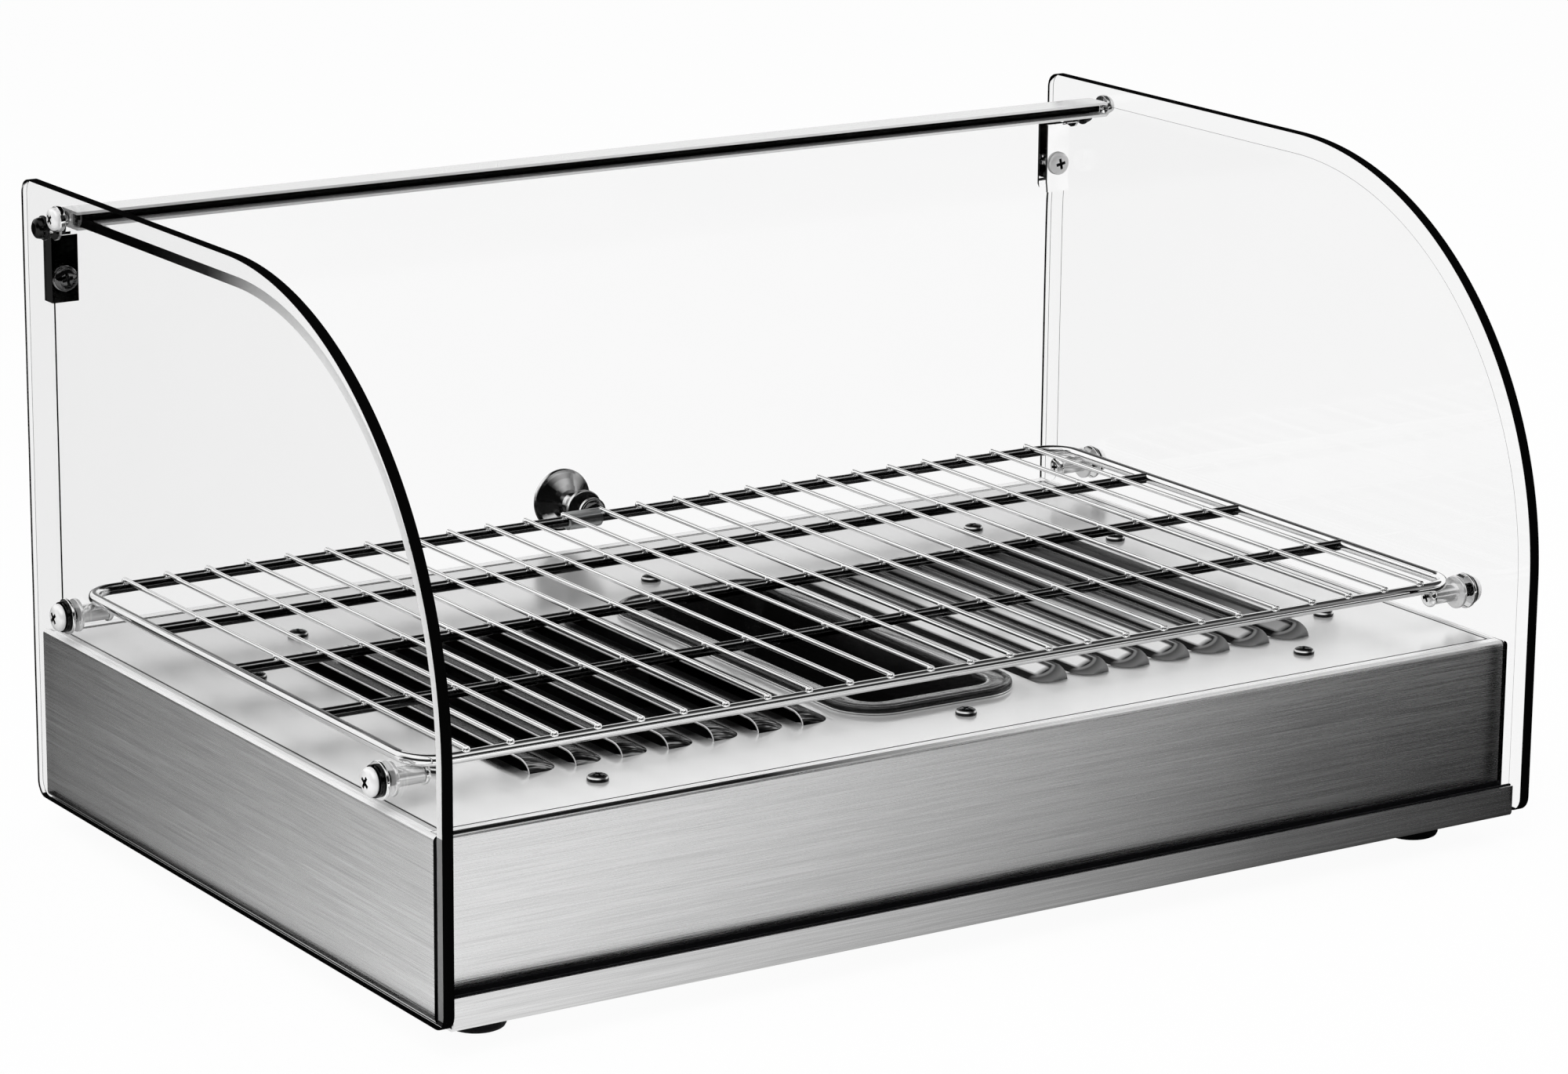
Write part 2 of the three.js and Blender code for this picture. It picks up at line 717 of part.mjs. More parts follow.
// Louvred top plate with the pan opening, its skirt and the screws that hold it down.
function topPlate() {
  const mouths = Array.from({ length: louvreCount }, (_, i) => louvreOuterX - i * louvrePitch);
  const plate = block(-deckHalf, deckHalf, deckFront, deckRear, deckUnder, deckTop);
  const skirtBottom = deckTop - deckSkirt;
  const outer = block(-deckHalf, deckHalf, deckFront, deckRear, skirtBottom, deckUnder);
  const inner = block(-deckHalf + deckSheet, deckHalf - deckSheet, deckFront + deckSheet,
    deckRear - deckSheet, skirtBottom - overrun, deckUnder);
  const hood = join(...mouths.map(louvreHood));
  const openings = [join(...mouths.map(louvreVoid)), join(...mouths.map(louvreSlot))];
  const screws = [];
  for (const x of [-deckScrewX, 0, deckScrewX]) {
    screws.push(deckScrew(x, deckScrewFrontY), deckScrew(x, deckScrewRearY));
  }
  for (const y of deckScrewSideYs) screws.push(deckScrew(-deckScrewSideX, y), deckScrew(deckScrewSideX, y));
  const full = join(plate, cut(outer, inner), hood, mirrored(hood), ...screws);
  const inset = panRimWidth + panLedge - panHoleGap;
  const opening = roundedRectangle(-panWidth / 2 + inset, panWidth / 2 - inset,
    panMiddleY - panLength / 2 + inset, panMiddleY + panLength / 2 - inset, panCornerRadius - inset);
  const hole = prism(opening, 'z', deckUnder - overrun, deckTop + overrun);
  return cut(full, ...openings, ...openings.map(mirrored), hole);
}

// Water pan: a drawn tray with a rolled rim that hangs on the plate, a ledge and a tapered well.
function panRing(inset, z) {
  const r = Math.max(panCornerRadius - inset, panWall);
  const cornerX = panWidth / 2 - inset - r;
  const cornerY = panLength / 2 - inset - r;
  const corners = [[cornerX, cornerY, 0], [-cornerX, cornerY, 1], [-cornerX, -cornerY, 2], [cornerX, -cornerY, 3]];
  return corners.flatMap(([x, y, quarter]) => {
    const start = (quarter * Math.PI) / 2;
    return arcPoints(x, panMiddleY + y, z, r, start, start + Math.PI / 2, tubeSides / 2);
  });
}

function waterPan() {
  const rimFoot = deckTop + fitGap;
  const rimTop = deckTop + panRimRise;
  const ledge = panRimWidth + panLedge;
  const ledgeTop = rimFoot + panWall;
  const wellFloor = deckTop - panDepth;
  const roll = panRimWidth / 2;
  const mid = (rimFoot + rimTop) / 2;
  return lofted([
    panRing(ledge + panDraft + panWall, wellFloor - panWall),
    panRing(ledge + panDraft, wellFloor),
    panRing(ledge, rimFoot - panWall),
    panRing(ledge - panWall, rimFoot),
    panRing(0, rimFoot),
    panRing(0, mid),
    panRing(roll / 3, rimTop - panWall / 2),
    panRing(roll, rimTop),
    panRing(2 * roll - roll / 3, rimTop - panWall / 2),
    panRing(panRimWidth, ledgeTop),
    panRing(ledge - panWall / 2, ledgeTop),
    panRing(ledge + panWall, rimFoot - panWall),
    panRing(ledge + panDraft + panWall, wellFloor + panWall),
    panRing(ledge + panDraft + 2 * panWall, wellFloor),
  ]);
}

// Rail: a channel that holds the rear edge of the bent glass, closed at its ends by a block.
function topRail() {
  const rear = railFront + railWidth;
  const body = block(-railHalf, railHalf, railFront, rear, railBottom, railTop);
  const blockFront = frontGlassRear + fitGap;
  const room = railHalf - railEndBlock;
  const low = railBottom + railSheet;
  const high = railTop - railSheet;
  const channel = block(-room, room, railFront - overrun, rear - railSheet, low, high);
  const mouth = block(-half, half, railFront - overrun, blockFront, low, high);
  const hole = rod('x', railScrewRadius + fitGap, -half, half, [0, railScrewY, railScrewZ]);
  return cut(body, channel, mouth, hole);
}

// Screws, washers and pins turned round x, drawn for the right side.
function railScrew() {
  const washer = half + fitGap / 2;
  const crown = washer + railWasherThick;
  const tip = railHalf - railEndBlock;
  return turned([[0, tip], [railScrewRadius, tip], [railScrewRadius, washer], [railWasherRadius, washer],
    [railWasherRadius, crown], ...head(railHeadRadius, crown, railHeadHeight)], 'x', [0, railScrewY, railScrewZ]);
}

function hingePin() {
  const washer = half + fitGap / 2;
  const crown = washer + pinWasherThick;
  const ear = clipFace - clipSheet - fitGap;
  return turned([[0, ear - pinNutThick], [pinNutRadius, ear - pinNutThick], [pinNutRadius, ear],
    [pinRadius, ear], [pinRadius, washer], [pinWasherRadius, washer], [pinWasherRadius, crown],
    ...head(pinHeadRadius, crown, pinHeadHeight)], 'x', [0, pivotY, pivotHeight]);
}

// Clip on the upper corner of the door: a channel over the glass edge with an ear round the pin.
function hingeClip() {
  const top = pivotHeight - clipTopDrop;
  const bottom = pivotHeight - clipBottomDrop;
  const inner = clipFace - clipWidth;
  const channel = cut(
    block(inner, clipFace, clipFront, clipRear, bottom, top),
    block(inner - overrun, clipFace - clipSheet, clipFront + clipSheet, clipRear - clipSheet,
      bottom - overrun, top + overrun),
  );
  const web = clipFace - clipSheet;
  const ear = join(
    rod('x', clipEarRadius, web, clipFace, [0, pivotY, pivotHeight]),
    block(web, clipFace, clipFront, pivotY + clipEarRadius, top - overrun, pivotHeight),
  );
  const pinHole = rod('x', pinRadius + fitGap, web - overrun, clipFace + overrun, [0, pivotY, pivotHeight]);
  const hole = rod('y', clipScrewRadius + fitGap, clipFront - overrun, clipRear + overrun,
    [clipScrewX, 0, clipScrewZ]);
  return cut(join(channel, ear), pinHole, hole);
}

function clipScrew() {
  const nut = clipRear + fitGap / 2;
  const face = clipFront - fitGap / 2;
  return turned([...head(clipHeadRadius, face, -clipHeadHeight).reverse(),
    [clipScrewRadius, face], [clipScrewRadius, nut], [clipNutRadius, nut], [clipNutRadius, nut + clipNutThick],
    [0, nut + clipNutThick]], 'y', [clipScrewX, 0, clipScrewZ]);
}

function rearDoor() {
  const outline = roundedRectangle(-doorHalf, doorHalf, doorBottom, doorTop, doorCornerRadius);
  const from = doorFront - overrun;
  const to = doorRear + overrun;
  const knobHole = rod('y', knobScrewRadius + glassHoleGap, from, to, [0, 0, rackZ]);
  const clipHoles = sides.map(([, sense]) =>
    rod('y', clipScrewRadius + glassHoleGap, from, to, [sense * clipScrewX, 0, clipScrewZ]));
  return cut(prism(outline, 'y', doorFront, doorRear), knobHole, ...clipHoles);
}

// Knob: a small foot on the glass, a waist and a broad dished face.
function doorKnob() {
  const seat = doorRear + fitGap;
  const boreEnd = seat + knobLength * knobBoreShare;
  return turned([
    [knobBoreRadius, seat],
    ...scaled(knobFootShares, knobBaseRadius, seat, knobLength),
    ...scaled(knobNeckShares, knobNeckRadius, seat, knobLength),
    ...scaled(knobFaceShares, knobRadius, seat, knobLength),
    [0, boreEnd], [knobBoreRadius, boreEnd], [knobBoreRadius, seat],
  ], 'y', [0, 0, rackZ], roundSides);
}

function doorKnobScrew() {
  const washer = doorFront - fitGap / 2;
  const crown = washer - knobWasherThick;
  const tip = doorRear + fitGap + knobLength / 2;
  return turned([...head(knobHeadRadius, crown, fitGap - knobHeadHeight).reverse(),
    [knobWasherRadius, crown], [knobWasherRadius, washer], [knobScrewRadius - fitGap / 2, washer],
    [knobScrewRadius - fitGap / 2, tip], [0, tip]], 'y', [0, 0, rackZ]);
}

// Wire rack: a looped frame bar, three cross bars level with it and thin wires welded on top.
function wireRack() {
  const r = rackCornerRadius;
  const right = rackHalf - r;
  const corners = [[right, rackRear - r, 0], [-right, rackRear - r, 1], [-right, rackFront + r, 2],
    [right, rackFront + r, 3]];
  const line = corners.flatMap(([x, y, quarter]) => {
    const start = (quarter * Math.PI) / 2;
    return arcPoints(x, y, rackZ, r, start, start + Math.PI / 2, tubeSides / 2);
  });
  const frame = levelTube(line, rackBarRadius, tubeSides, true);
  const bars = rackCrossBarShares.map((share) =>
    rod('x', rackBarRadius, -rackHalf, rackHalf, [0, rackFront + share * (rackRear - rackFront), rackZ], tubeSides));
  const wireZ = rackZ + rackBarRadius + rackWireRadius - rackWeld;
  const from = rackFront - rackWireOverhang;
  const to = rackRear + rackWireOverhang;
  const wires = Array.from({ length: rackWires }, (_, i) =>
    rod('y', rackWireRadius, from, to, [(i + 1) * rackPitch - rackHalf, 0, wireZ], wireSides));
  return join(frame, ...bars, ...wires);
}

// Clear sleeve on the rear bar, in the gap between two wires beside the knob.
function rackSleeve() {
  const from = -rackPitch + rackWireRadius + sleeveGap;
  const to = -rackWireRadius - sleeveGap;
  const bore = rackBarRadius + fitGap / 2;
  return turned([[bore, from], [sleeveRadius, from], [sleeveRadius, to], [bore, to], [bore, from]],
    'x', [0, rackRear, rackZ]);
}

// Stand-offs, drawn for the right side with the inner end towards the middle of the case.
function standoff(y) {
  const flange = innerFace - fitGap / 2;
  const neck = flange - standoffFlangeThick;
  const end = flange - standoffLength;
  return turned([[standoffBoreRadius, end], [standoffRadius, end], [standoffRadius, neck],
    [standoffFlangeRadius, neck], [standoffFlangeRadius, flange], [standoffBoreRadius, flange],
    [standoffBoreRadius, end]], 'x', [0, y, standoffZ]);
}

function standoffWasher(y) {
  const from = half + fitGap / 2;
  const to = from + boltWasherThick;
  const bore = boltRadius + glassHoleGap;
  return turned([[bore, from], [boltWasherRadius, from], [boltWasherRadius, to], [bore, to], [bore, from]],
    'x', [0, y, standoffZ]);
}

function standoffBolt(y) {
  const spring = half + fitGap + boltWasherThick;
  const crown = spring + springWasherThick;
  const tip = innerFace - boltReach;
  return turned([[0, tip], [boltRadius, tip], [boltRadius, spring], [springWasherRadius, spring],
    [springWasherRadius, crown], ...head(boltHeadRadius, crown, boltHeadHeight)], 'x', [0, y, standoffZ]);
}

function standoffCap(y) {
  const face = innerFace - standoffLength - fitGap;
  const tip = face + capScrewReach;
  return turned([...head(capHeadRadius, face, -capHeadHeight).reverse(), [boltRadius, face], [boltRadius, tip], [0, tip]], 'x', [0, y, standoffZ]);
}

function foot(x, y) {
  const r = footRadius;
  const top = baseBottom;
  const chamfer = footRadius - footTopRadius;
  return turned([[0, footRecessDepth], [footRecessRadius, footRecessDepth], [footRecessRadius, 0],
    [r - chamfer, 0], [r, chamfer], [r, top / 2], [footTopRadius, top], [0, top]], 'z', [x, y, 0],
  roundSides);
}

// Support across the base under a row of deck screws: foot flange, web and top flange.
function support(webY, sense, holes) {
  const at = (offset) => webY + sense * offset;
  const outline = [[at(supportFlange), supportFoot], [at(0), supportFoot], [at(0), supportTop],
    [at(supportFlange), supportTop], [at(supportFlange), supportTop - sheet], [at(sheet), supportTop - sheet],
    [at(sheet), supportFoot + sheet], [at(supportFlange), supportFoot + sheet]];
  const from = Math.min(at(0), at(sheet)) - overrun;
  const to = Math.max(at(0), at(sheet)) + overrun;
  const body = prism(polygon(outline), 'x', -supportHalf, supportHalf);
  return cut(body, ...holes.map(([radius, x, z]) => rod('y', radius + fitGap, from, to, [x, 0, z])));
}

const elementXs = [-elementOuterX, -elementInnerX, elementInnerX, elementOuterX];

function rearSupport() {
  const legs = elementXs.map((x) => [elementRadius, x, elementHeight]);
  return support(rearSupportY, -1, [...legs, [bulbRadius, bulbX, bulbHeight]]);
}

// Hairpin heating element with a cold pin on each end.
function heatingElement(sense) {
  const middle = (elementInnerX + elementOuterX) / 2;
  const radius = (elementOuterX - elementInnerX) / 2;
  const bendY = elementFront + radius;
  const z = elementHeight;
  const line = [
    new THREE.Vector3(sense * middle + radius, elementRear, z),
    ...arcPoints(sense * middle, bendY, z, radius, 0, -Math.PI, smallSides / 2),
    new THREE.Vector3(sense * middle - radius, elementRear, z),
  ];
  const pinFrom = elementRear - overrun;
  const pinTo = elementRear + elementPinLength;
  const pins = [middle - radius, middle + radius].map((x) =>
    rod('y', elementPinRadius, pinFrom, pinTo, [sense * x, 0, z], wireSides));
  return join(levelTube(line, elementRadius, tubeSides), ...pins);
}

// Saddle that carries both legs of an element above the heat shield.
function elementSaddle() {
  const low = elementInnerX - saddleMargin;
  const high = elementOuterX + saddleMargin;
  const floor = shieldHeight + sheet + fitGap;
  const top = elementHeight + saddleMargin / 2;
  const plate = block(low, high, saddleY, saddleY + sheet, floor, top);
  const flange = block(low, high, saddleY, saddleY + footFlange, floor, floor + sheet);
  const holes = [elementInnerX, elementOuterX].map((x) =>
    rod('y', elementRadius + fitGap, saddleY - overrun, saddleY + sheet + overrun, [x, 0, elementHeight]));
  return cut(join(plate, flange), ...holes);
}

function heatShield() {
  const top = shieldHeight + sheet;
  return cut(
    block(-shieldHalf, shieldHalf, shieldFront, shieldRear, supportFoot, top),
    block(-shieldHalf + sheet, shieldHalf - sheet, shieldFront - overrun, shieldRear + overrun,
      supportFoot - overrun, shieldHeight),
  );
}

// Thermostat: body behind the rear panel, with its neck in the panel hole clear of the spindle.
function thermostatBody() {
  const rear = panelRearInside - fitGap;
  const front = rear - thermostatDepth;
  const across = thermostatWidth / 2;
  const up = thermostatHeight / 2;
  const shell = roundedRectangle(dialX - across, dialX + across, controlHeight - up, controlHeight + up, foldRadius);
  const bore = rod('y', spindleRadius + fitGap, rear - thermostatDepth / 2, rear + overrun, [dialX, 0, controlHeight]);
  return cut(prism(shell, 'y', front, rear), bore);
}

// Dial: spindle, numbered skirt and a grip bar across it.
function thermostatDial() {
  const start = panelRearInside - fitGap - thermostatDepth / 2 + fitGap;
  const face = baseRear + fitGap;
  const end = face + dialLength;
  const skirtTop = face + dialSkirt;
  const body = turned([[0, start], [spindleRadius, start], [spindleRadius, face], [dialSkirtRadius, face],
    [dialSkirtRadius, skirtTop], [dialRadius, skirtTop + dialSkirt / 3], [dialRadius * dialTaperShare, end - dialGrip],
    [0, end - dialGrip]], 'y', [dialX, 0, controlHeight], roundSides);
  const reach = dialRadius * dialGripShare;
  const gripHalf = dialGrip / 2;
  const grip = roundedRectangle(dialX - gripHalf, dialX + gripHalf, controlHeight - reach, controlHeight + reach,
    gripHalf / 2);
  return join(body, prism(grip, 'y', skirtTop, end));
}

// Sensing bulb through the rear support, with its capillary back to the thermostat.
function thermostatBulb() {
  const bodyFront = panelRearInside - fitGap - thermostatDepth;
  const bulbRear = rearSupportY + bulbRadius;
  const bulb = rod('y', bulbRadius, bulbRear - bulbLength, bulbRear, [bulbX, 0, bulbHeight], tubeSides);
  const offset = dialX + thermostatWidth / 4 - bulbX;
  const line = Array.from({ length: tubeSides + 1 }, (_, i) => {
    const share = i / tubeSides;
    const ease = (1 - Math.cos(Math.PI * share)) / 2;
    const y = bulbRear - overrun + (bodyFront - fitGap - bulbRear + overrun) * share;
    return new THREE.Vector3(bulbX + offset * ease, y, bulbHeight);
  });
  return join(bulb, levelTube(line, capillaryRadius, wireSides));
}

// Rocker switch: a body through the panel with a bezel outside and a well that the rocker rocks in.
function switchBody() {
  const across = switchWidth / 2;
  const up = switchHeight / 2;
  const front = panelRearInside - switchDepth;
  const face = baseRear + fitGap;
  const proud = face + bezelThick;
  const z = controlHeight;
  const well = [across - bezelRim / 2, up - bezelRim / 2];
  const body = block(switchX - across, switchX + across, front, proud, z - up, z + up);
  const bezel = roundedRectangle(switchX - across - bezelRim, switchX + across + bezelRim, z - up - bezelRim,
    z + up + bezelRim, bezelRim);
  const room = block(switchX - well[0], switchX + well[0], face - rockerDepth - rockerGap, proud + overrun,
    z - well[1], z + well[1]);
  return cut(join(body, prism(bezel, 'y', face, proud)), room);
}

function switchRocker() {
  const across = switchWidth / 2 - bezelRim / 2 - rockerGap;
  const up = switchHeight / 2 - bezelRim / 2 - 2 * rockerGap;
  const dip = rockerProud;
  const top = rockerProud + bezelThick;
  const floor = -rockerDepth / 2;
  const outline = [[floor, -up / 3], [floor, up / 3], [0, up], [top, up], [top - dip, 0], [top, -up], [0, -up]];
  return prism(polygon(outline), 'x', -across, across);
}

function placeRocker() {
  const hinge = new THREE.Group();
  hinge.position.set(switchX, baseRear + fitGap, controlHeight);
  hinge.rotation.x = THREE.MathUtils.degToRad(-rockerTilt);
  place('switch_rocker', switchRocker(), plastic, hinge);
  caseGroup.add(hinge);
}

function pilotLamp() {
  const face = baseRear + fitGap;
  const r = lampRadius;
  const dome = face + lampFlangeThick;
  return turned([[0, face - lampDepth], [r, face - lampDepth], [r, face], [lampFlangeRadius, face],
    [lampFlangeRadius, dome], ...scaled(domeShares, r, dome, lampProud)], 'y', [lampX, 0, controlHeight]);
}

// Cable gland, empty: lock nut inside the panel, threaded neck, dome nut outside and a bore.
function cableGland() {
  const face = baseRear + fitGap;
  const inside = panelRearInside - fitGap;
  const nut = inside - glandNutThick;
  const end = face + glandLength;
  return turned([[glandBoreRadius, nut - glandNutThick], [glandThreadRadius, nut - glandNutThick],
    [glandThreadRadius, nut], [glandRadius, nut], [glandRadius, inside], [glandThreadRadius, inside],
    [glandThreadRadius, face], [glandRadius, face], [glandRadius, face + glandNutThick],
    [glandRadius * glandNutShare, face + glandNutThick], [glandRadius * glandNutShare, end - glandNutThick],
    [glandTipRadius, end],
    [glandBoreRadius, end], [glandBoreRadius, nut - glandNutThick]], 'y', [glandX, 0, glandHeight], smallSides);
}

function terminalBlock() {
  const floor = trayTop + fitGap;
  const rear = panelRearInside - footFlange - blockDepth / 2;
  const body = block(blockX - blockWidth / 2, blockX + blockWidth / 2, rear - blockDepth, rear, floor,
    floor + blockHeight);
  const pitch = blockWidth / blockWays;
  const slots = Array.from({ length: blockWays }, (_, i) => {
    const x = blockX - blockWidth / 2 + pitch * (i + 0.5);
    const gap = blockSlot / 2;
    return block(x - gap, x + gap, rear - blockDepth - overrun, rear + overrun, floor + blockHeight / 2,
      floor + blockHeight + overrun);
  });
  return cut(body, ...slots);
}

// The case, piece by piece
place('bottom_tray', bottomTray(), brushed);
placePair('side_panel', sidePanel(), brushed);
place('front_fascia', frontFascia(), brushed);
place('rear_panel', rearPanel(), brushed);
place('top_plate', topPlate(), satin);
place('water_pan', waterPan(), satin);
place('gutter_strip', gutterStrip(), rubber);
placePair('side_glass', sideGlass(), glass);
place('front_glass', frontGlass(), glass);
place('top_rail', topRail(), satin);
placePair('rail_screw', railScrew(), chrome);

const rearFootY = glassDepth - footInsetY;
for (const [side, sense] of sides) {
  place(`foot_front_${side}`, foot(sense * (half - footInsetX), footInsetY), rubber);
  place(`foot_rear_${side}`, foot(sense * (half - footInsetX), rearFootY), rubber);
}

place('rear_door_glass', rearDoor(), glass);
placePair('hinge_pin', hingePin(), chrome);
placePair('hinge_clip', hingeClip(), chrome);
placePair('hinge_clip_screw', clipScrew(), chrome);
place('door_knob', doorKnob(), chrome);
place('door_knob_screw', doorKnobScrew(), chrome);

place('wire_rack', wireRack(), chrome);
place('rack_sleeve', rackSleeve(), clearRubber);
for (const [end, y] of Object.entries(standoffYs)) {
  placePair(`standoff_${end}`, standoff(y), chrome);
  placePair(`standoff_washer_${end}`, standoffWasher(y), chrome);
  placePair(`standoff_bolt_${end}`, standoffBolt(y), chrome);
  placePair(`standoff_cap_${end}`, standoffCap(y), chrome);
}

place('support_front', support(frontSupportY, 1, []), brushed);
place('support_rear', rearSupport(), brushed);
place('heat_shield', heatShield(), satin);
place('heating_element_left', heatingElement(-1), heater);
place('heating_element_right', heatingElement(1), heater);
placePair('element_saddle', elementSaddle(), satin);
place('thermostat_body', thermostatBody(), ceramic);
place('thermostat_dial', thermostatDial(), plastic);
place('thermostat_bulb', thermostatBulb(), satin);
place('switch_body', switchBody(), plastic);
placeRocker();
place('pilot_lamp', pilotLamp(), lampRed);
place('cable_gland', cableGland(), plastic);
place('terminal_block', terminalBlock(), ceramic);

caseGroup.position.y = -overallDepth / 2;
const part = new THREE.Group();
part.add(caseGroup);

export default part;
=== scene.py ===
"""Looks for the heated display case: finishes, lights, camera and fine pieces over the frame."""
import contextlib
import math
from functools import partialmethod

import bmesh
import bpy
from mathutils import Matrix, Vector


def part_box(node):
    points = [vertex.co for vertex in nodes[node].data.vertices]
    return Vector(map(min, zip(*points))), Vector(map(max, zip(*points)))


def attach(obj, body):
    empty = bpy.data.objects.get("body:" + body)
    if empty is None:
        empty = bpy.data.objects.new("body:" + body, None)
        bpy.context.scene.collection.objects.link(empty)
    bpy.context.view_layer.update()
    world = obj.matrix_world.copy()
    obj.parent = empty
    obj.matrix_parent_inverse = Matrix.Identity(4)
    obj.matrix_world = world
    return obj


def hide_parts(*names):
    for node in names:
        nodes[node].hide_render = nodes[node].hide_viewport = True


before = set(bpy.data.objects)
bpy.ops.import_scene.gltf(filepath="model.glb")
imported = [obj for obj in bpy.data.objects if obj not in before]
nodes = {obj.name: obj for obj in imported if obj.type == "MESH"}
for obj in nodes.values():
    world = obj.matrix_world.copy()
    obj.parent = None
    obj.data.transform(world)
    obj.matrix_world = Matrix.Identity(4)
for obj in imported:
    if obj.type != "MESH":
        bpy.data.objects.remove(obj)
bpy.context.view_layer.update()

MM = 0.001
FRONT_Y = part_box("side_glass_left")[0].y
ORIGIN = Vector((0, FRONT_Y, 0))
SIDES = (("left", -1), ("right", 1))

# Sizes shared with the frame, in millimetres: x from the middle, y back from the side glass's front
HALF = 277.0
GLASS = 5.0
INNER = HALF - GLASS
GLASS_DEPTH = 370.0
GLASS_TOP = 294.5
GLASS_FOOT = 14.2
GLASS_ARC = 175.0
GLASS_CORNER = 7.0
FIT = 0.3
SLACK = 0.15
DECK_TOP = 91.5
SHEET = 1.2
DECK_HALF = 265.3
DECK_FRONT = 19.4
DECK_REAR = 359.6
DECK_SKIRT = (80.3, 90.2)
BEND_Y = 173.7
BEND_Z = 118.5
BEND = 167.0
BENT_REAR = 326.0
BENT_FOOT = 15.9
STANDOFF_Z = 105.5
STANDOFF_Y = {"front": 49.0, "rear": 332.9}
STANDOFF_BORE = 3.0
SPACER_LENGTH = 15.0
SPACER_FLANGE = 1.6
SHANK_REACH = 9.0
OUTER_WASHER = 1.4
SPRING_WASHER = 2.4
RAIL_SCREW = (330.2, 283.0)
RAIL_BORE = 2.6
RAIL_TIP = 265.7
RAIL_WASHER = 2.4
PIVOT = (346.4, 276.2)
PIVOT_BORE = 3.1
EAR = 269.0
PIN_FLANGE = 1.2
DOOR_FRONT = 351.0
DOOR_REAR = 356.0
DOOR_HALF = 269.0
DOOR_BOTTOM = 93.0
DOOR_TOP = 274.0
CLIP_SCREW = (264.25, 252.2)
RACK_Z = 112.3
RACK_HALF = 263.5
RACK_FRONT = 40.7
RACK_REAR = 341.5
RACK_BAR = 2.5
RACK_WIRE = 1.1
RACK_WIRES = 25
RACK_CORNER = 14.0
CROSS_BARS = (0.268, 0.522, 0.762)
PAN_WIDTH = 90.0
PAN_FRONT = 58.1
PAN_REAR = 269.3
PAN_LENGTH = PAN_REAR - PAN_FRONT
PAN_CORNER = 22.0
PAN_DEPTH = 38.0
PAN_LEDGE = 10.5
PAN_BANDS = 20.0
LOUVRES = 7
LOUVRE_OUTER = 200.3
LOUVRE_PITCH = 22.04
LOUVRE_WIDTH = 15.5
LOUVRE_SLOT = 0.78
LOUVRE_HEIGHT = 5.2
LOUVRE_LENGTH = 198.2
LOUVRE_END = 9.0
LOUVRE_MIDDLE = (PAN_FRONT + PAN_REAR) / 2
DECK_SCREWS = [(x, y) for y in (43.4, 297.1) for x in (-180.9, 0, 180.9)]
DECK_SCREWS += [(x, y) for x in (-227.8, 227.8) for y in (88.6, 246.4)]
FOOT_X = 241.0
FOOT_Y = {"front": 38.0, "rear": 332.0}

# Controls in the rear panel
PANEL_FACE = 366.0
CONTROL_FACE = PANEL_FACE + FIT
CONTROL_Z = 52.0
DIAL_X = -90.0
DIAL_MARK = (72.2, 76.0)
FIGURES = 10
FIGURE_CIRCLE = 17.4
SWITCH_X = -150.0
ROCKER_REST = math.radians(-6)
ROCKER_RISE = 2.0
ROCKER_SLOPE = 1.6 / 8.3
ROCKER_MARK = 4.6
LAMP_X = -190.0
GLAND_X, GLAND_Z = 215.3, 40.0

# Places where a folded edge's painted highlight and painted shade change
FOLD_LIGHT = 268.2
FOLD_SHADE = 15.4
PANEL_FRONT_SHADE = 20.0


def frame_y(place):
    """A place back from the side glass's front, in the frame's metres."""
    return place * MM + FRONT_Y


def to_frame(point):
    return Vector(point) * MM + ORIGIN


# Node trees

def grey(tone):
    return (tone, tone, tone, 1)


WHITE, BLACK = grey(1), grey(0)


class Value:
    """A number that nodes work out, for use in sums and comparisons."""

    def __init__(self, tree, socket):
        self.tree, self.socket = tree, socket

    def worked(self, operation, *others):
        return self.tree.maths(operation, self, *others)

    __add__ = partialmethod(worked, "ADD")
    __sub__ = partialmethod(worked, "SUBTRACT")
    __mul__ = partialmethod(worked, "MULTIPLY")
    __gt__ = partialmethod(worked, "GREATER_THAN")
    __lt__ = partialmethod(worked, "LESS_THAN")
    __abs__ = partialmethod(worked, "ABSOLUTE")

    def __rsub__(self, other):
        return self.tree.maths("SUBTRACT", other, self)


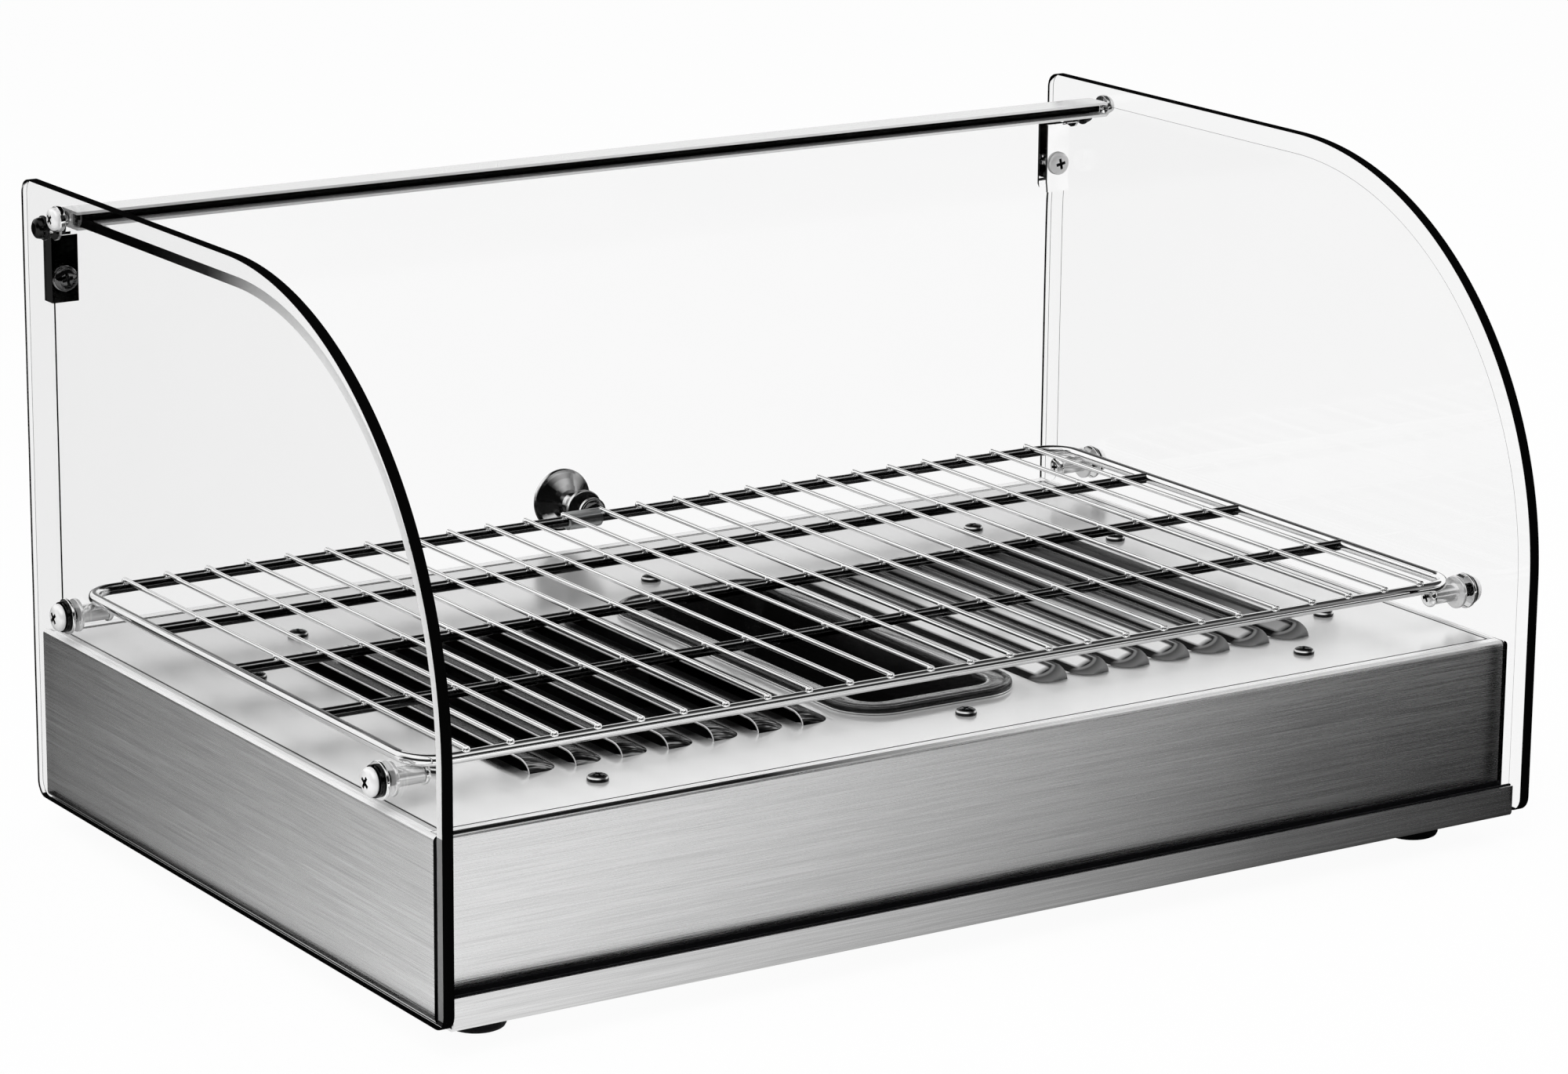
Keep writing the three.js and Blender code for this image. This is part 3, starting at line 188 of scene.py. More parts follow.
class Tree:
    """A material's or the world's nodes, with short calls to make and join them."""

    def __init__(self, owner):
        owner.use_nodes = True
        self.tree = owner.node_tree
        self.tree.nodes.clear()

    def node(self, kind, inputs=None, **settings):
        made = self.tree.nodes.new(kind)
        for key, value in settings.items():
            setattr(made, key, value)
        for key, value in (inputs or {}).items():
            if isinstance(value, Value):
                value = value.socket
            if isinstance(value, bpy.types.NodeSocket):
                self.tree.links.new(value, made.inputs[key])
            else:
                made.inputs[key].default_value = value
        return made

    def maths(self, operation, *values):
        made = self.node("ShaderNodeMath", dict(enumerate(values)), operation=operation)
        return Value(self, made.outputs[0])

    def most(self, first, second):
        return self.maths("MAXIMUM", first, second)

    def length(self, u, v):
        return self.maths("SQRT", u * u + v * v)

    def ramp(self, value, stops=((0.0, 0.0), (1.0, 1.0))):
        """The colour at a value, from stops of (place, tone or colour)."""
        made = self.node("ShaderNodeValToRGB", {"Fac": value})
        elements = made.color_ramp.elements
        while len(elements) < len(stops):
            elements.new(0.5)
        for element, (place, tone) in zip(elements, stops):
            element.position = place
            element.color = (*tone, 1) if isinstance(tone, tuple) else grey(tone)
        return made.outputs["Color"]

    def mix(self, share, first, second, blend="MIX"):
        """Two colours mixed by a share between 0 and 1."""
        made = self.node("ShaderNodeMix", {0: share, "A": first, "B": second},
                         data_type="RGBA", blend_type=blend)
        return made.outputs["Result"]

    def tint(self, first, second, share=1.0):
        """A colour multiplied by another."""
        return self.mix(share, first, second, "MULTIPLY")

    def noise(self, scale, stretch=(1, 1, 1), detail=3.0, roughness=0.5):
        spread = self.node("ShaderNodeMapping", {"Vector": self.place(), "Scale": stretch})
        made = self.node("ShaderNodeTexNoise", {
            "Vector": spread.outputs["Vector"], "Scale": scale,
            "Detail": detail, "Roughness": roughness})
        return Value(self, made.outputs["Fac"])

    def place(self, kind="Object"):
        return self.node("ShaderNodeTexCoord").outputs[kind]

    def parts(self, vector):
        made = self.node("ShaderNodeSeparateXYZ", {0: vector})
        return [Value(self, socket) for socket in made.outputs]

    def along(self, axis, kind="Object"):
        """One part of the place, or of the way a face looks, in the piece's own axes."""
        return self.parts(self.place(kind))["XYZ".index(axis)]

    def spread(self, value, low, high, start=0.0, end=1.0, clamp=True):
        """A value carried from the span start to end over to the span low to high."""
        made = self.node("ShaderNodeMapRange", {
            "Value": value, "From Min": start, "From Max": end,
            "To Min": low, "To Max": high}, clamp=clamp)
        return Value(self, made.outputs["Result"])

    def rise(self, value, start, end):
        """0 where a value is at the start, rising to 1 at the end."""
        return self.spread(value, 0, 1, start, end)

    def bump(self, height, strength, distance):
        made = self.node("ShaderNodeBump", {
            "Height": height, "Strength": strength, "Distance": distance})
        return made.outputs["Normal"]

    def light_path(self, ray):
        return Value(self, self.node("ShaderNodeLightPath").outputs[ray])

    def out(self, shader, kind="ShaderNodeOutputMaterial"):
        self.node(kind, {"Surface": shader})

    def surface(self, colour, rough, relief=(), metal=0.0, shine=0.5):
        """A coat. Rough is (pattern, least, most), and relief is what bump takes."""
        inputs = {"Base Color": colour, "Roughness": self.spread(*rough, 0.3, 0.7),
                  "Metallic": metal, "Specular IOR Level": shine}
        if relief:
            inputs["Normal"] = self.bump(*relief)
        self.out(self.node("ShaderNodeBsdfPrincipled", inputs).outputs["BSDF"])


def material(name):
    made = bpy.data.materials.new(name)
    return made, Tree(made)


def tinted(tree, value, colour, swing):
    """A colour that a pattern between 0 and 1 makes a little darker and lighter."""
    low = tuple(c * (1 - swing) for c in colour)
    high = tuple(min(1, c * (1 + swing)) for c in colour)
    return tree.ramp(value, [(0.25, low), (0.75, high)])


# Kinds of finish

def brushed(name, tone, grain, swing, rough, pattern=None):
    """Brushed sheet with its grain along one axis. A pattern gives painted highlight and shade, and
    how metallic it is.
    """
    made, t = material(name)

    def lines(along, across, detail, roughness):
        stretch = tuple(along if axis == grain else across for axis in "xyz")
        return t.noise(1.0, stretch, detail, roughness)

    streaks, clouds = lines(15, 1300, 2.0, 0.6), lines(5, 330, 2.0, 0.5)
    both = streaks * 0.55 + clouds * 0.2 + lines(45, 3000, 1.0, 0.5) * 0.25
    colour, metal = tinted(t, both, (tone, tone, tone), swing), 1.0
    if pattern:
        colour, metal = pattern(t, colour)
    t.surface(colour, (both, rough - 0.07, rough + 0.09), (both, 0.35, 0.0002), metal)
    return made


def satin(name, tone, rough, pattern=None, metal=1.0, shine=0.5):
    """Fine bead-blasted or rolled sheet, with a painted pattern of light and shade if given."""
    made, t = material(name)
    grains = t.noise(2600, detail=2.0)
    cloud = t.noise(14, detail=2.0)
    colour = tinted(t, grains, (tone, tone, tone), 0.09)
    if pattern:
        colour = t.tint(colour, pattern(t))
    t.surface(colour, (cloud, rough - 0.015, rough + 0.015), (grains, 0.12, 0.0001), metal, shine)
    return made


def polished(name, tone, rough, tint=(1, 1, 1), metal=1.0, pattern=None):
    """Plated or polished metal with faint marks and smears, and a painted pattern of glints and
    reflections if given.
    """
    made, t = material(name)
    smear = t.noise(90, detail=4.0)
    marks = t.noise(1200, detail=1.0)
    colour = tinted(t, smear, tuple(tone * c for c in tint), 0.04)
    if pattern:
        colour = t.tint(colour, pattern(t))
    t.surface(colour, (smear, rough * 0.7, rough * 1.5), (marks, 0.05, 0.0001), metal)
    return made


def moulded(name, colour, rough, grain=900, relief=0.15, shine=0.25):
    """Plastic, rubber or ceramic with a fine grain."""
    made, t = material(name)
    grains = t.noise(grain, detail=3.0)
    cloud = t.noise(40, detail=2.0)
    t.surface(tinted(t, cloud, colour, 0.12), (grains, rough - 0.08, rough + 0.1),
              (grains, relief, 0.0002), shine=shine)
    return made


def seen_through(t):
    """1 for what the camera sees, directly or through glass."""
    return t.most(t.light_path("Is Camera Ray"), t.light_path("Is Transmission Ray"))


def not_mirrored(t):
    """0 for what is mirrored in clear glass, which shows nothing of the studio."""
    return 1.0 - t.light_path("Is Singular Ray")


def clear_glass(name, tint, rough, bend, shade_line_at=None):
    """Clear glass that lets the lamps and reflections of other pieces pass straight through.

    An edge can show a thin painted shade line, standing in for the dark look of a glass edge, at a
    given place across the case.
    """
    made, t = material(name)
    colour = tinted(t, t.noise(22, detail=3.0), tint, 0.004)
    if shade_line_at is not None:
        off = abs(t.along("X") - shade_line_at * MM)
        line = t.rise(off, 1.7 * MM, 2.2 * MM)
        colour = t.tint(colour, t.ramp(line))
    glass = t.node("ShaderNodeBsdfPrincipled", {
        "Base Color": colour,
        "Roughness": rough,
        "IOR": bend,
        "Transmission Weight": 1.0,
    })
    clear = t.node("ShaderNodeBsdfTransparent", {"Color": (*tint, 1)})
    both = t.node("ShaderNodeMixShader", {
        0: seen_through(t), 1: clear.outputs["BSDF"], 2: glass.outputs["BSDF"]})
    t.out(both.outputs["Shader"])
    return made


def glass_edge(name, stops, foot=None):
    """Ground edge of a pane, from (place back from the front, tone) and its tone below the deck."""
    made, t = material(name)
    ground = t.noise(700, detail=3.0)
    far, near = stops[-1][0], stops[0][0]
    back = t.rise(t.along("Y"), frame_y(near), frame_y(far))
    tone = t.ramp(back, [((place - near) / (far - near), light) for place, light in stops])
    if foot is not None:
        tone = t.mix(t.along("Z") < DECK_TOP * MM, tone, grey(foot))
    speckled = t.tint(tone, tinted(t, ground, (0.7, 0.7, 0.7), 0.4), 0.12)
    t.surface(speckled, (ground, 0.3, 0.5), shine=0.0)
    return made


# Painted light and shade

def panel_folds(t, colour):
    """The side panels' folded top edge gets a painted highlight, with less metal there, and their
    front edge painted shade.
    """
    top = t.along("Z", "Normal") > 0.4
    flange = t.mix(abs(t.along("X")) > FOLD_LIGHT * MM, grey(0.62), WHITE)
    front = (t.along("Y", "Normal") < -0.6) * (t.along("Y") < frame_y(PANEL_FRONT_SHADE))
    toned = t.mix(front, t.mix(top, colour, flange), grey(0.004))
    return toned, t.spread(top, 1.0, 0.2)


def fascia_fold(t, colour):
    """The fascia's folded top gets a painted highlight, its bend a thin painted shade line that
    fades out to the right.
    """
    up = (t.along("Z", "Normal") > 0.4) * (t.along("Z") > (DECK_TOP - 1) * MM)
    line = up * (t.along("Y") < frame_y(FOLD_SHADE)) * t.spread(t.along("X"), 1, 0, -0.12, 0.03)
    toned = t.mix(line, t.mix(up, colour, grey(0.96)), grey(0.008))
    return toned, t.spread(up, 1.0, 0.4)


def facing(t, way, low, high):
    """How far a piece faces a way, from 0 at low to 1 at high."""
    toward = t.node("ShaderNodeVectorMath", {
        0: t.place("Normal"), 1: Vector(way).normalized()}, operation="DOT_PRODUCT")
    return t.rise(toward.outputs["Value"], low, high)


def knob_tone(t):
    """A dark turned knob with painted reflections: a bright spot low on its cone and a soft one
    above.
    """
    spot = facing(t, (-0.25, -0.88, -0.42), 0.955, 0.985)
    soft = facing(t, (0.05, -0.75, 0.66), 0.86, 0.99) * 0.55
    rim = facing(t, (-0.8, 0.1, 0.55), 0.80, 0.93) * 0.9
    rear = facing(t, (0, 1, 0), 0.25, 0.7) * 0.85
    bright = t.most(t.most(spot, soft), t.most(rim, rear))
    return t.ramp(bright, [(0.0, 0.012), (1.0, 1.0)])


def bar_tone(t):
    """Painted reflections: the rear and cross bars are dark with two thin bright lines; the front
    bar is bright.
    """
    lines = t.ramp(t.rise(t.along("Z", "Normal"), -1, 1), [
        (0.0, 0.02), (0.42, 0.02), (0.46, 0.35), (0.50, 0.02),
        (0.80, 0.015), (0.84, 1.0), (0.90, 1.0), (0.94, 0.02)])
    level = t.spread(abs(t.along("X", "Normal")), 1, 0, 0.2, 0.4)
    behind = t.along("Y") > frame_y(RACK_FRONT + 12)
    return t.mix(level * behind, WHITE, lines)


def dome_tone(t):
    """A small dome's painted reflections: black on top and at its foot, with bright glints round
    its shoulder.
    """
    band = t.ramp(t.along("Z", "Normal"), [
        (0.0, 0.01), (0.30, 0.01), (0.42, 0.9), (0.62, 1.0), (0.78, 0.03), (1.0, 0.01)])
    side = abs(t.along("X", "Normal"))
    return t.tint(band, t.ramp(side, [(0.15, 0.1), (0.45, 1.0)]))


def louvre_place(t):
    """Places at the louvres: x, y, 1 on the right, and three ways to say where in a louvre.

    These are the louvres passed from the outer one, the share of the way across to the next, and
    the way in from its ends in millimetres.
    """
    x, y = t.along("X"), t.along("Y")
    outer, next_one = LOUVRE_OUTER * MM, (LOUVRE_OUTER - LOUVRE_PITCH) * MM
    steps = t.spread(abs(x), 0, 1, outer, next_one, False)
    off = abs(y - frame_y(LOUVRE_MIDDLE))
    inside = (LOUVRE_LENGTH / 2 * MM - off) * 1000.0
    return x, y, x > 0.0, steps, t.maths("FRACT", steps), inside


def round_end(t, across, inside, reach):
    """The way past the start of a hood's round end, and the distance from that end's middle."""
    side = (across - 0.35) * LOUVRE_PITCH
    ahead = t.most(reach - inside, 0.0)
    return ahead, t.length(side, ahead)


def hood_tone(t):
    """Painted dark and light bands along the louvres, standing in for the room they mirror: each
    bank its own way.
    """
    x, y, right, _, across, inside = louvre_place(t)
    bright = t.spread(y - frame_y(LOUVRE_MIDDLE) + x * 1.5, 1.0, 0.0, 0.135, 0.29)
    bands = t.ramp(across, [
        (0.0, 0.01), (0.09, 0.02), (0.12, 0.4), (0.15, 0.04), (0.22, 0.05),
        (0.27, 1.0), (0.50, 1.0), (0.56, 0.01), (0.72, 0.01)])
    lit = t.tint(bands, t.ramp(bright * bright))
    ahead, far = round_end(t, across, inside, 10.0)
    tip = t.ramp(t.rise(far, 0, 10), [
        (0.0, 0.004), (0.48, 0.004), (0.56, 0.26), (0.62, 0.26), (0.70, 0.08), (1.0, 0.22)])
    right_tone = t.mix(t.rise(ahead, 1.0, 4.5), t.mix(0.05, lit, bands), tip)
    left_bands = t.ramp(across, [
        (0.0, 0.06), (0.06, 0.05), (0.2, 0.01), (0.4, 0.003), (0.72, 0.003)])
    fan = t.ramp(t.noise(1.0, (60, 900, 300), 2.0, 0.6), [
        (0.42, 0.003), (0.54, 0.04), (0.62, 0.35)])
    left_tone = t.mix(t.spread(inside, 1, 0, 5, 11), left_bands, fan)
    return t.mix(right, left_tone, right_tone)


def pan_tone(t):
    """Painted bands of light and shade: a highlight on the foot line, over the dark rim and the
    light flange to the dark well.
    """
    wide = abs(t.along("X")) - (PAN_WIDTH / 2 - PAN_CORNER) * MM
    off = abs(t.along("Y") - frame_y(LOUVRE_MIDDLE))
    deep = off - (PAN_LENGTH / 2 - PAN_CORNER) * MM
    far = t.length(t.most(wide, 0.0), t.most(deep, 0.0))
    far = far + t.maths("MINIMUM", t.most(wide, deep), 0.0)
    inset = t.rise(far, PAN_CORNER * MM, (PAN_CORNER - PAN_BANDS) * MM)
    bands = t.ramp(inset, [
        (0.0, 0.05), (0.03, 0.08), (0.07, 0.30), (0.12, 0.20), (0.15, 0.02), (0.185, 0.02),
        (0.21, 0.26), (0.48, 0.45), (0.51, 0.9), (0.54, 0.9), (0.565, 0.02), (1.0, 0.008)])
    streaks = t.noise(1.0, (500, 12, 500), 4.0, 0.6)
    bands = t.tint(bands, t.ramp(streaks, [(0.3, 0.55), (0.7, 1.0)]))
    foot = (t.along("Z") < (DECK_TOP + FIT + 0.5) * MM) * (inset < 0.05)
    return t.mix(foot, bands, grey(0.95))


def deck_shadow(t):
    """Painted shade on the plate where it mirrors the left bank's dark mouths and the right bank's
    round ends, dark seam lines at its edges, and painted shade towards the rear and the right.
    """
    x, y, right, steps, across, inside = louvre_place(t)
    in_bank = (steps > -0.35) * (steps < LOUVRES - 0.3)
    strip = t.rise(across, 0.60, 0.80) * t.rise(inside, -2, 14)
    dark = strip * (in_bank * (1.0 - right))
    ahead, far = round_end(t, across, inside, 8.0)
    halo = t.spread(far, 0.62, 0, 8.5, 12.5) * (ahead > 0.5) * (in_bank * right) * (steps > 0.0)
    seam = t.most(abs(x) > (DECK_HALF - 0.7) * MM, y < frame_y(DECK_FRONT + 0.6))
    shade = t.ramp(t.most(t.most(dark, halo), seam), [(0.0, 1.0), (0.5, 0.25), (1.0, 0.02)])
    depth = t.ramp(t.rise(y, frame_y(DECK_FRONT), frame_y(DECK_REAR)),
                   [(0.0, 1.0), (0.5, 0.86), (1.0, 0.74)])
    far_side = t.ramp(t.rise(x, 0.12, 0.26), [(0.0, 1.0), (1.0, 0.92)])
    return t.tint(shade, t.tint(depth, far_side))


STEEL_X = brushed("steel_grain_x", 0.80, "x", 0.30, 0.26, fascia_fold)
STEEL_Y = brushed("steel_grain_y", 0.77, "y", 0.30, 0.26, panel_folds)
STEEL_IN = brushed("steel_inside", 0.34, "x", 0.15, 0.42)
DECK = satin("deck_satin", 0.80, 0.2, None, 0.6)
DECK_PLATE = satin("deck_plate_satin", 1.0, 0.2, deck_shadow, 0.55)
HOOD = satin("louvre_satin", 1.0, 0.2, hood_tone, 0.15, 0.05)
PAN = satin("pan_steel", 0.95, 0.14, pan_tone, 0.7)
NICKEL = polished("spacer_nickel", 0.9, 0.14, metal=0.6)
CHROME = polished("bright_chrome", 0.97, 0.04)
KNOB = polished("knob_chrome", 1.0, 0.08, metal=0.6, pattern=knob_tone)
BARS = polished("rack_bar_chrome", 0.97, 0.04, pattern=bar_tone)
DOME = polished("deck_screw_steel", 1.0, 0.08, metal=0.5, pattern=dome_tone)
SCREW_STEEL = polished("screw_steel", 0.12, 0.06)
ZINC = polished("bright_zinc", 0.98, 0.28, metal=0.2)
DARK_METAL = polished("dark_spring_steel", 0.025, 0.15)
HEATER = polished("element_sheath", 0.20, 0.40, (1.0, 0.9, 0.8))
RUBBER = moulded("black_rubber", (0.007, 0.007, 0.008), 0.62, shine=0.08)
PLASTIC = moulded("black_plastic", (0.018, 0.018, 0.02), 0.42)
CERAMIC = moulded("white_insulator", (0.72, 0.70, 0.64), 0.5)
LAMP = moulded("lamp_red", (0.55, 0.03, 0.02), 0.18, 300, 0.05)
PRINT_WHITE = moulded("white_print", (0.80, 0.80, 0.78), 0.5, shine=0.1)
PRINT_BLACK = moulded("black_print", (0.01, 0.01, 0.01), 0.5, shine=0.1)
RECESS = moulded("recess_shadow", (0.01, 0.01, 0.01), 0.5)
SIDE_PANE = clear_glass("clear_side_pane", (0.999, 0.999, 0.999), 0.0, 1.2)
PANE = clear_glass("clear_pane", (0.999, 0.999, 0.999), 0.0, 1.01)
SLEEVE = clear_glass("clear_sleeve", (0.85, 0.86, 0.86), 0.4, 1.3)
# The side panes' rear edges carry a thin painted shade line near one face.
REAR_EDGE = {side: clear_glass(f"rear_edge_{side}", (0.998, 0.999, 0.999), 0.0, 1.2, shade_line_at)
             for side, shade_line_at in (("left", -HALF), ("right", INNER))}
EDGE = glass_edge("glass_edge_dark", [(0.0, 0.002), (400.0, 0.003)])
# Painted light on the bent pane's left end: white at the front, fading to black further back, and
# grey below the deck.
EDGE_PAINTED_LIGHT = glass_edge("glass_edge_painted_light", [
    (100, 1.0), (158, 0.5), (188, 0.1), (200, 0.03), (250, 0.003)], 0.32)


# Mesh pieces

def linked(name, data):
    made = bpy.data.objects.new(name, data)
    bpy.context.scene.collection.objects.link(made)
    return made


def as_mesh(drawn):
    """The mesh that an object shows. The object is taken away."""
    bpy.context.view_layer.update()
    shown = drawn.evaluated_get(bpy.context.evaluated_depsgraph_get())
    mesh = bpy.data.meshes.new_from_object(shown)
    bpy.data.objects.remove(drawn)
    return mesh


@contextlib.contextmanager
def shaping(mesh):
    """Opens a mesh for changes and writes them back."""
    shape = bmesh.new()
    shape.from_mesh(mesh)
    yield shape
    shape.to_mesh(mesh)
    shape.free()


def piece(name, mesh, materials, body, replaced=(), smooth=35.0, bevel=0.0):
    """A mesh in frame metres, or gathered skins, as a piece that rides on a body."""
    if isinstance(mesh, Skins):
        mesh = mesh.mesh(name)
    if smooth:
        for polygon in mesh.polygons:
            polygon.use_smooth = True
        mesh.set_sharp_from_angle(angle=math.radians(smooth))
    made = linked(name, mesh)
    for one in materials:
        mesh.materials.append(one)
    if bevel:
        edge = made.modifiers.new("rounded", "BEVEL")
        edge.width = bevel * MM
        edge.segments = 3
        edge.limit_method = "ANGLE"
        edge.angle_limit = math.radians(40)
        edge.harden_normals = True
    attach(made, body)
    if replaced:
        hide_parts(*([replaced] if isinstance(replaced, str) else replaced))
    return made


class Skins:
    """Several closed skins in millimetres, gathered in one mesh."""

    def __init__(self):
        self.points = []
        self.faces = []

    def loft(self, rings, looped=False):
        """Joins rings of equal length one to the next, with caps unless they loop."""
        first, count = len(self.points), len(rings[0])
        for i in range(len(rings) if looped else len(rings) - 1):
            low = first + i * count
            high = first + ((i + 1) % len(rings)) * count
            for j in range(count):
                k = (j + 1) % count
                self.faces.append((low + j, low + k, high + k, high + j))
        if not looped:
            last = first + (len(rings) - 1) * count
            self.faces.append(tuple(first + j for j in reversed(range(count))))
            self.faces.append(tuple(last + j for j in range(count)))
        self.points += [p for ring in rings for p in ring]

    def tube(self, line, radius, sides, looped=False):
        """A round tube along a level line."""
        rings = []
        count = len(line)
        for i, here in enumerate(line):
            before = line[(i - 1) % count] if looped else line[max(i - 1, 0)]
            after = line[(i + 1) % count] if looped else line[min(i + 1, count - 1)]
            along = (Vector(after) - Vector(before)).normalized()
            across = Vector((-along.y, along.x, 0))
            ring = []
            for k in range(sides):
                turn = 2 * math.pi * k / sides
                up = Vector((0, 0, radius * math.sin(turn)))
                ring.append(tuple(Vector(here) + (across * radius * math.cos(turn) + up)))
            rings.append(ring)
        self.loft(rings, looped)

    def mesh(self, name):
        mesh = bpy.data.meshes.new(name)
        mesh.from_pydata([to_frame(p) for p in self.points], [], self.faces)
        with shaping(mesh) as shape:
            bmesh.ops.recalc_face_normals(shape, faces=shape.faces)
        return mesh


AXIS_TURN = {
    "x": Matrix(((0, 0, 1), (0, 1, 0), (-1, 0, 0))),
    "y": Matrix(((1, 0, 0), (0, 0, 1), (0, -1, 0))),
    "z": Matrix.Identity(3),
}


def formed(radius, angle, form=""):
    """The radius at an angle of a round, six-sided or ribbed outline."""
    if form == "hex":
        return radius * math.cos(math.pi / 6) / math.cos(angle % (math.pi / 3) - math.pi / 6)
    if form == "ribs":
        return radius * (1 - 0.025 * (1 + math.cos(24 * angle)))
    return radius


def lathe_rings(profile, axis, centre, sides):
    """Rings for rows of (radius, place along the axis), and a form if it isn't round."""
    rings = []
    for radius, along, *form in profile:
        ring = []
        for k in range(sides):
            angle = 2 * math.pi * k / sides
            r = formed(radius, angle, *form)
            point = Vector((r * math.cos(angle), r * math.sin(angle), along))
            ring.append(tuple(AXIS_TURN[axis] @ point + Vector(centre)))
        rings.append(ring)
    return rings


def lathe(name, profile, axis, centre, sides=40):
    """A profile turned round. Ends at radius 0 are closed."""
    skins = Skins()
    skins.loft(lathe_rings([(max(r, 0.01), *rest) for r, *rest in profile], axis, centre, sides))
    return skins.mesh(name)


def rounded(profile, radius=0.35, steps=3):
    """A profile with its corners rounded a little."""
    made = [profile[0]]
    for before, here, after in zip(profile, profile[1:], profile[2:]):
        b, h, a = Vector(before), Vector(here), Vector(after)
        reach = min(radius, (b - h).length / 2.2, (a - h).length / 2.2)
        if reach < 0.02:
            made.append(here)
            continue
        start = h + (b - h).normalized() * reach
        end = h + (a - h).normalized() * reach
        for i in range(steps + 1):
            t = i / steps
            made.append(tuple(start * (1 - t) ** 2 + h * 2 * t * (1 - t) + end * t * t))
    made.append(profile[-1])
    return made


def stepped(*steps):
    """The profile of a shank in steps of (radius, start, end)."""
    rows = [(radius, place) for radius, *ends in steps for place in ends]
    return [(0.01, rows[0][1]), *rows, (0.01, rows[-1][1])]


def turned(name, profile, axis, centre, finish, body, replaced=(), sides=40, corner=0.35):
    mesh = lathe(name, rounded(profile, corner), axis, centre, sides)
    return piece(name, mesh, [finish], body, replaced)


def plate(name, outline, holes, thick, place, bevel=0.4):
    """A flat sheet with holes, drawn in a plane and carried through its thickness by place."""
    curve = bpy.data.curves.new(name, "CURVE")
    curve.dimensions = "2D"
    curve.fill_mode = "BOTH"
    for points in [outline, *holes]:
        spline = curve.splines.new("POLY")
        spline.points.add(len(points) - 1)
        for point, (u, v) in zip(spline.points, points):
            point.co = (u * MM, v * MM, 0, 1)
        spline.use_cyclic_u = True
    curve.extrude = (thick / 2 - bevel) * MM
    curve.bevel_depth = bevel * MM
    curve.bevel_resolution = 1
    curve.offset = -bevel * MM
    mesh = as_mesh(linked(name, curve))
    mesh.name = name
    mesh.materials.clear()
    with shaping(mesh) as shape:
        bmesh.ops.remove_doubles(shape, verts=shape.verts, dist=1e-6)
        bmesh.ops.transform(shape, matrix=place, verts=shape.verts)
        bmesh.ops.recalc_face_normals(shape, faces=shape.faces)
    return mesh


def across_x(x):
    """Carries a drawing of (y, z) to the plane at x."""
    return Matrix.Translation(to_frame((x, 0, 0))) @ Matrix(
        ((0, 0, 1, 0), (1, 0, 0, 0), (0, 1, 0, 0), (0, 0, 0, 1)))


def across_y(y):
    """Carries a drawing of (x, z) to the plane at y."""
    return Matrix.Translation(to_frame((0, y, 0))) @ Matrix(
        ((1, 0, 0, 0), (0, 0, -1, 0), (0, 1, 0, 0), (0, 0, 0, 1)))


def across_z(z):
    return Matrix.Translation(to_frame((0, 0, z)))


def arc(u, v, radius, start, end, steps):
    turns = [math.radians(start + (end - start) * i / steps) for i in range(steps + 1)]
    return [(u + radius * math.cos(t), v + radius * math.sin(t)) for t in turns]


def round_rectangle(u0, u1, v0, v1, radius, steps=8):
    return [
        *arc(u1 - radius, v0 + radius, radius, -90, 0, steps),
        *arc(u1 - radius, v1 - radius, radius, 0, 90, steps),
        *arc(u0 + radius, v1 - radius, radius, 90, 180, steps),
        *arc(u0 + radius, v0 + radius, radius, 180, 270, steps),
    ]


def circle(u, v, radius, steps=28):
    return arc(u, v, radius, 360, 0, steps)[:-1]


def pane(name, mesh, kind, finishes, body, node):
    """A glass. Kind gives the number of each face's finish, with sharp borders between them."""
    for polygon in mesh.polygons:
        polygon.material_index = kind(polygon)
    with shaping(mesh) as shape:
        for face in shape.faces:
            face.smooth = True
        for edge in shape.edges:
            kinds = {face.material_index for face in edge.link_faces}
            turn = edge.calc_face_angle(0)
            edge.smooth = len(kinds) == 1 and turn < math.radians(30)
    piece(name, mesh, finishes, body, node, 0)


# Glass

def side_pane(side, sense):
    corner, rear = GLASS_CORNER, GLASS_DEPTH - GLASS_CORNER
    outline = [
        *arc(corner, GLASS_FOOT + corner, corner, 180, 270, 8),
        *arc(rear, GLASS_FOOT + corner, corner, 270, 360, 8),
        *arc(rear, GLASS_TOP - corner, corner, 0, 90, 8),
        *arc(GLASS_ARC, GLASS_TOP - GLASS_ARC, GLASS_ARC, 90, 180, 96),
    ]
    holes = [circle(y, STANDOFF_Z, STANDOFF_BORE) for y in STANDOFF_Y.values()]
    holes += [circle(*RAIL_SCREW, RAIL_BORE), circle(*PIVOT, PIVOT_BORE)]
    name = f"side_pane_{side}"
    mesh = plate(name, outline, holes, GLASS, across_x(sense * (HALF - GLASS / 2)), 0.35)

    def kind(face):
        if abs(face.normal.x) > 0.99:
            return 0
        return 2 if face.normal.y > 0.6 else 1

    pane(name, mesh, kind, [SIDE_PANE, EDGE, REAR_EDGE[side]], "case", f"side_glass_{side}")


def bent_pane():
    outer = arc(BEND_Y, BEND_Z, BEND, 180, 90, 96)
    inner = arc(BEND_Y, BEND_Z, BEND - GLASS, 90, 180, 96)
    top, front = BEND_Z + BEND, BEND_Y - BEND
    outline = [*outer, (BENT_REAR, top), (BENT_REAR, top - GLASS), *inner,
               (front + GLASS, BENT_FOOT), (front, BENT_FOOT)]
    mesh = plate("bent_pane", outline, [], 2 * (INNER - 1), across_x(0), 0.3)
    rear = frame_y(BENT_REAR - 0.5)
    centre = to_frame((0, BEND_Y, BEND_Z))

    def kind(face):
        if face.center.y > rear or face.center.z < (BENT_FOOT + 0.5) * MM:
            return 1
        if abs(face.normal.x) < 0.1:
            return 0
        if abs(face.normal.x) > 0.95:
            return 2 if face.normal.x < 0 else 3
        offset = face.center - centre
        out = Vector((0, min(offset.y, 0), max(offset.z, 0)))
        return 1 if face.normal.dot(out) > 0 and face.normal.x > 0 else 3

    pane("bent_pane", mesh, kind, [PANE, EDGE, EDGE_PAINTED_LIGHT, PANE], "case", "front_glass")


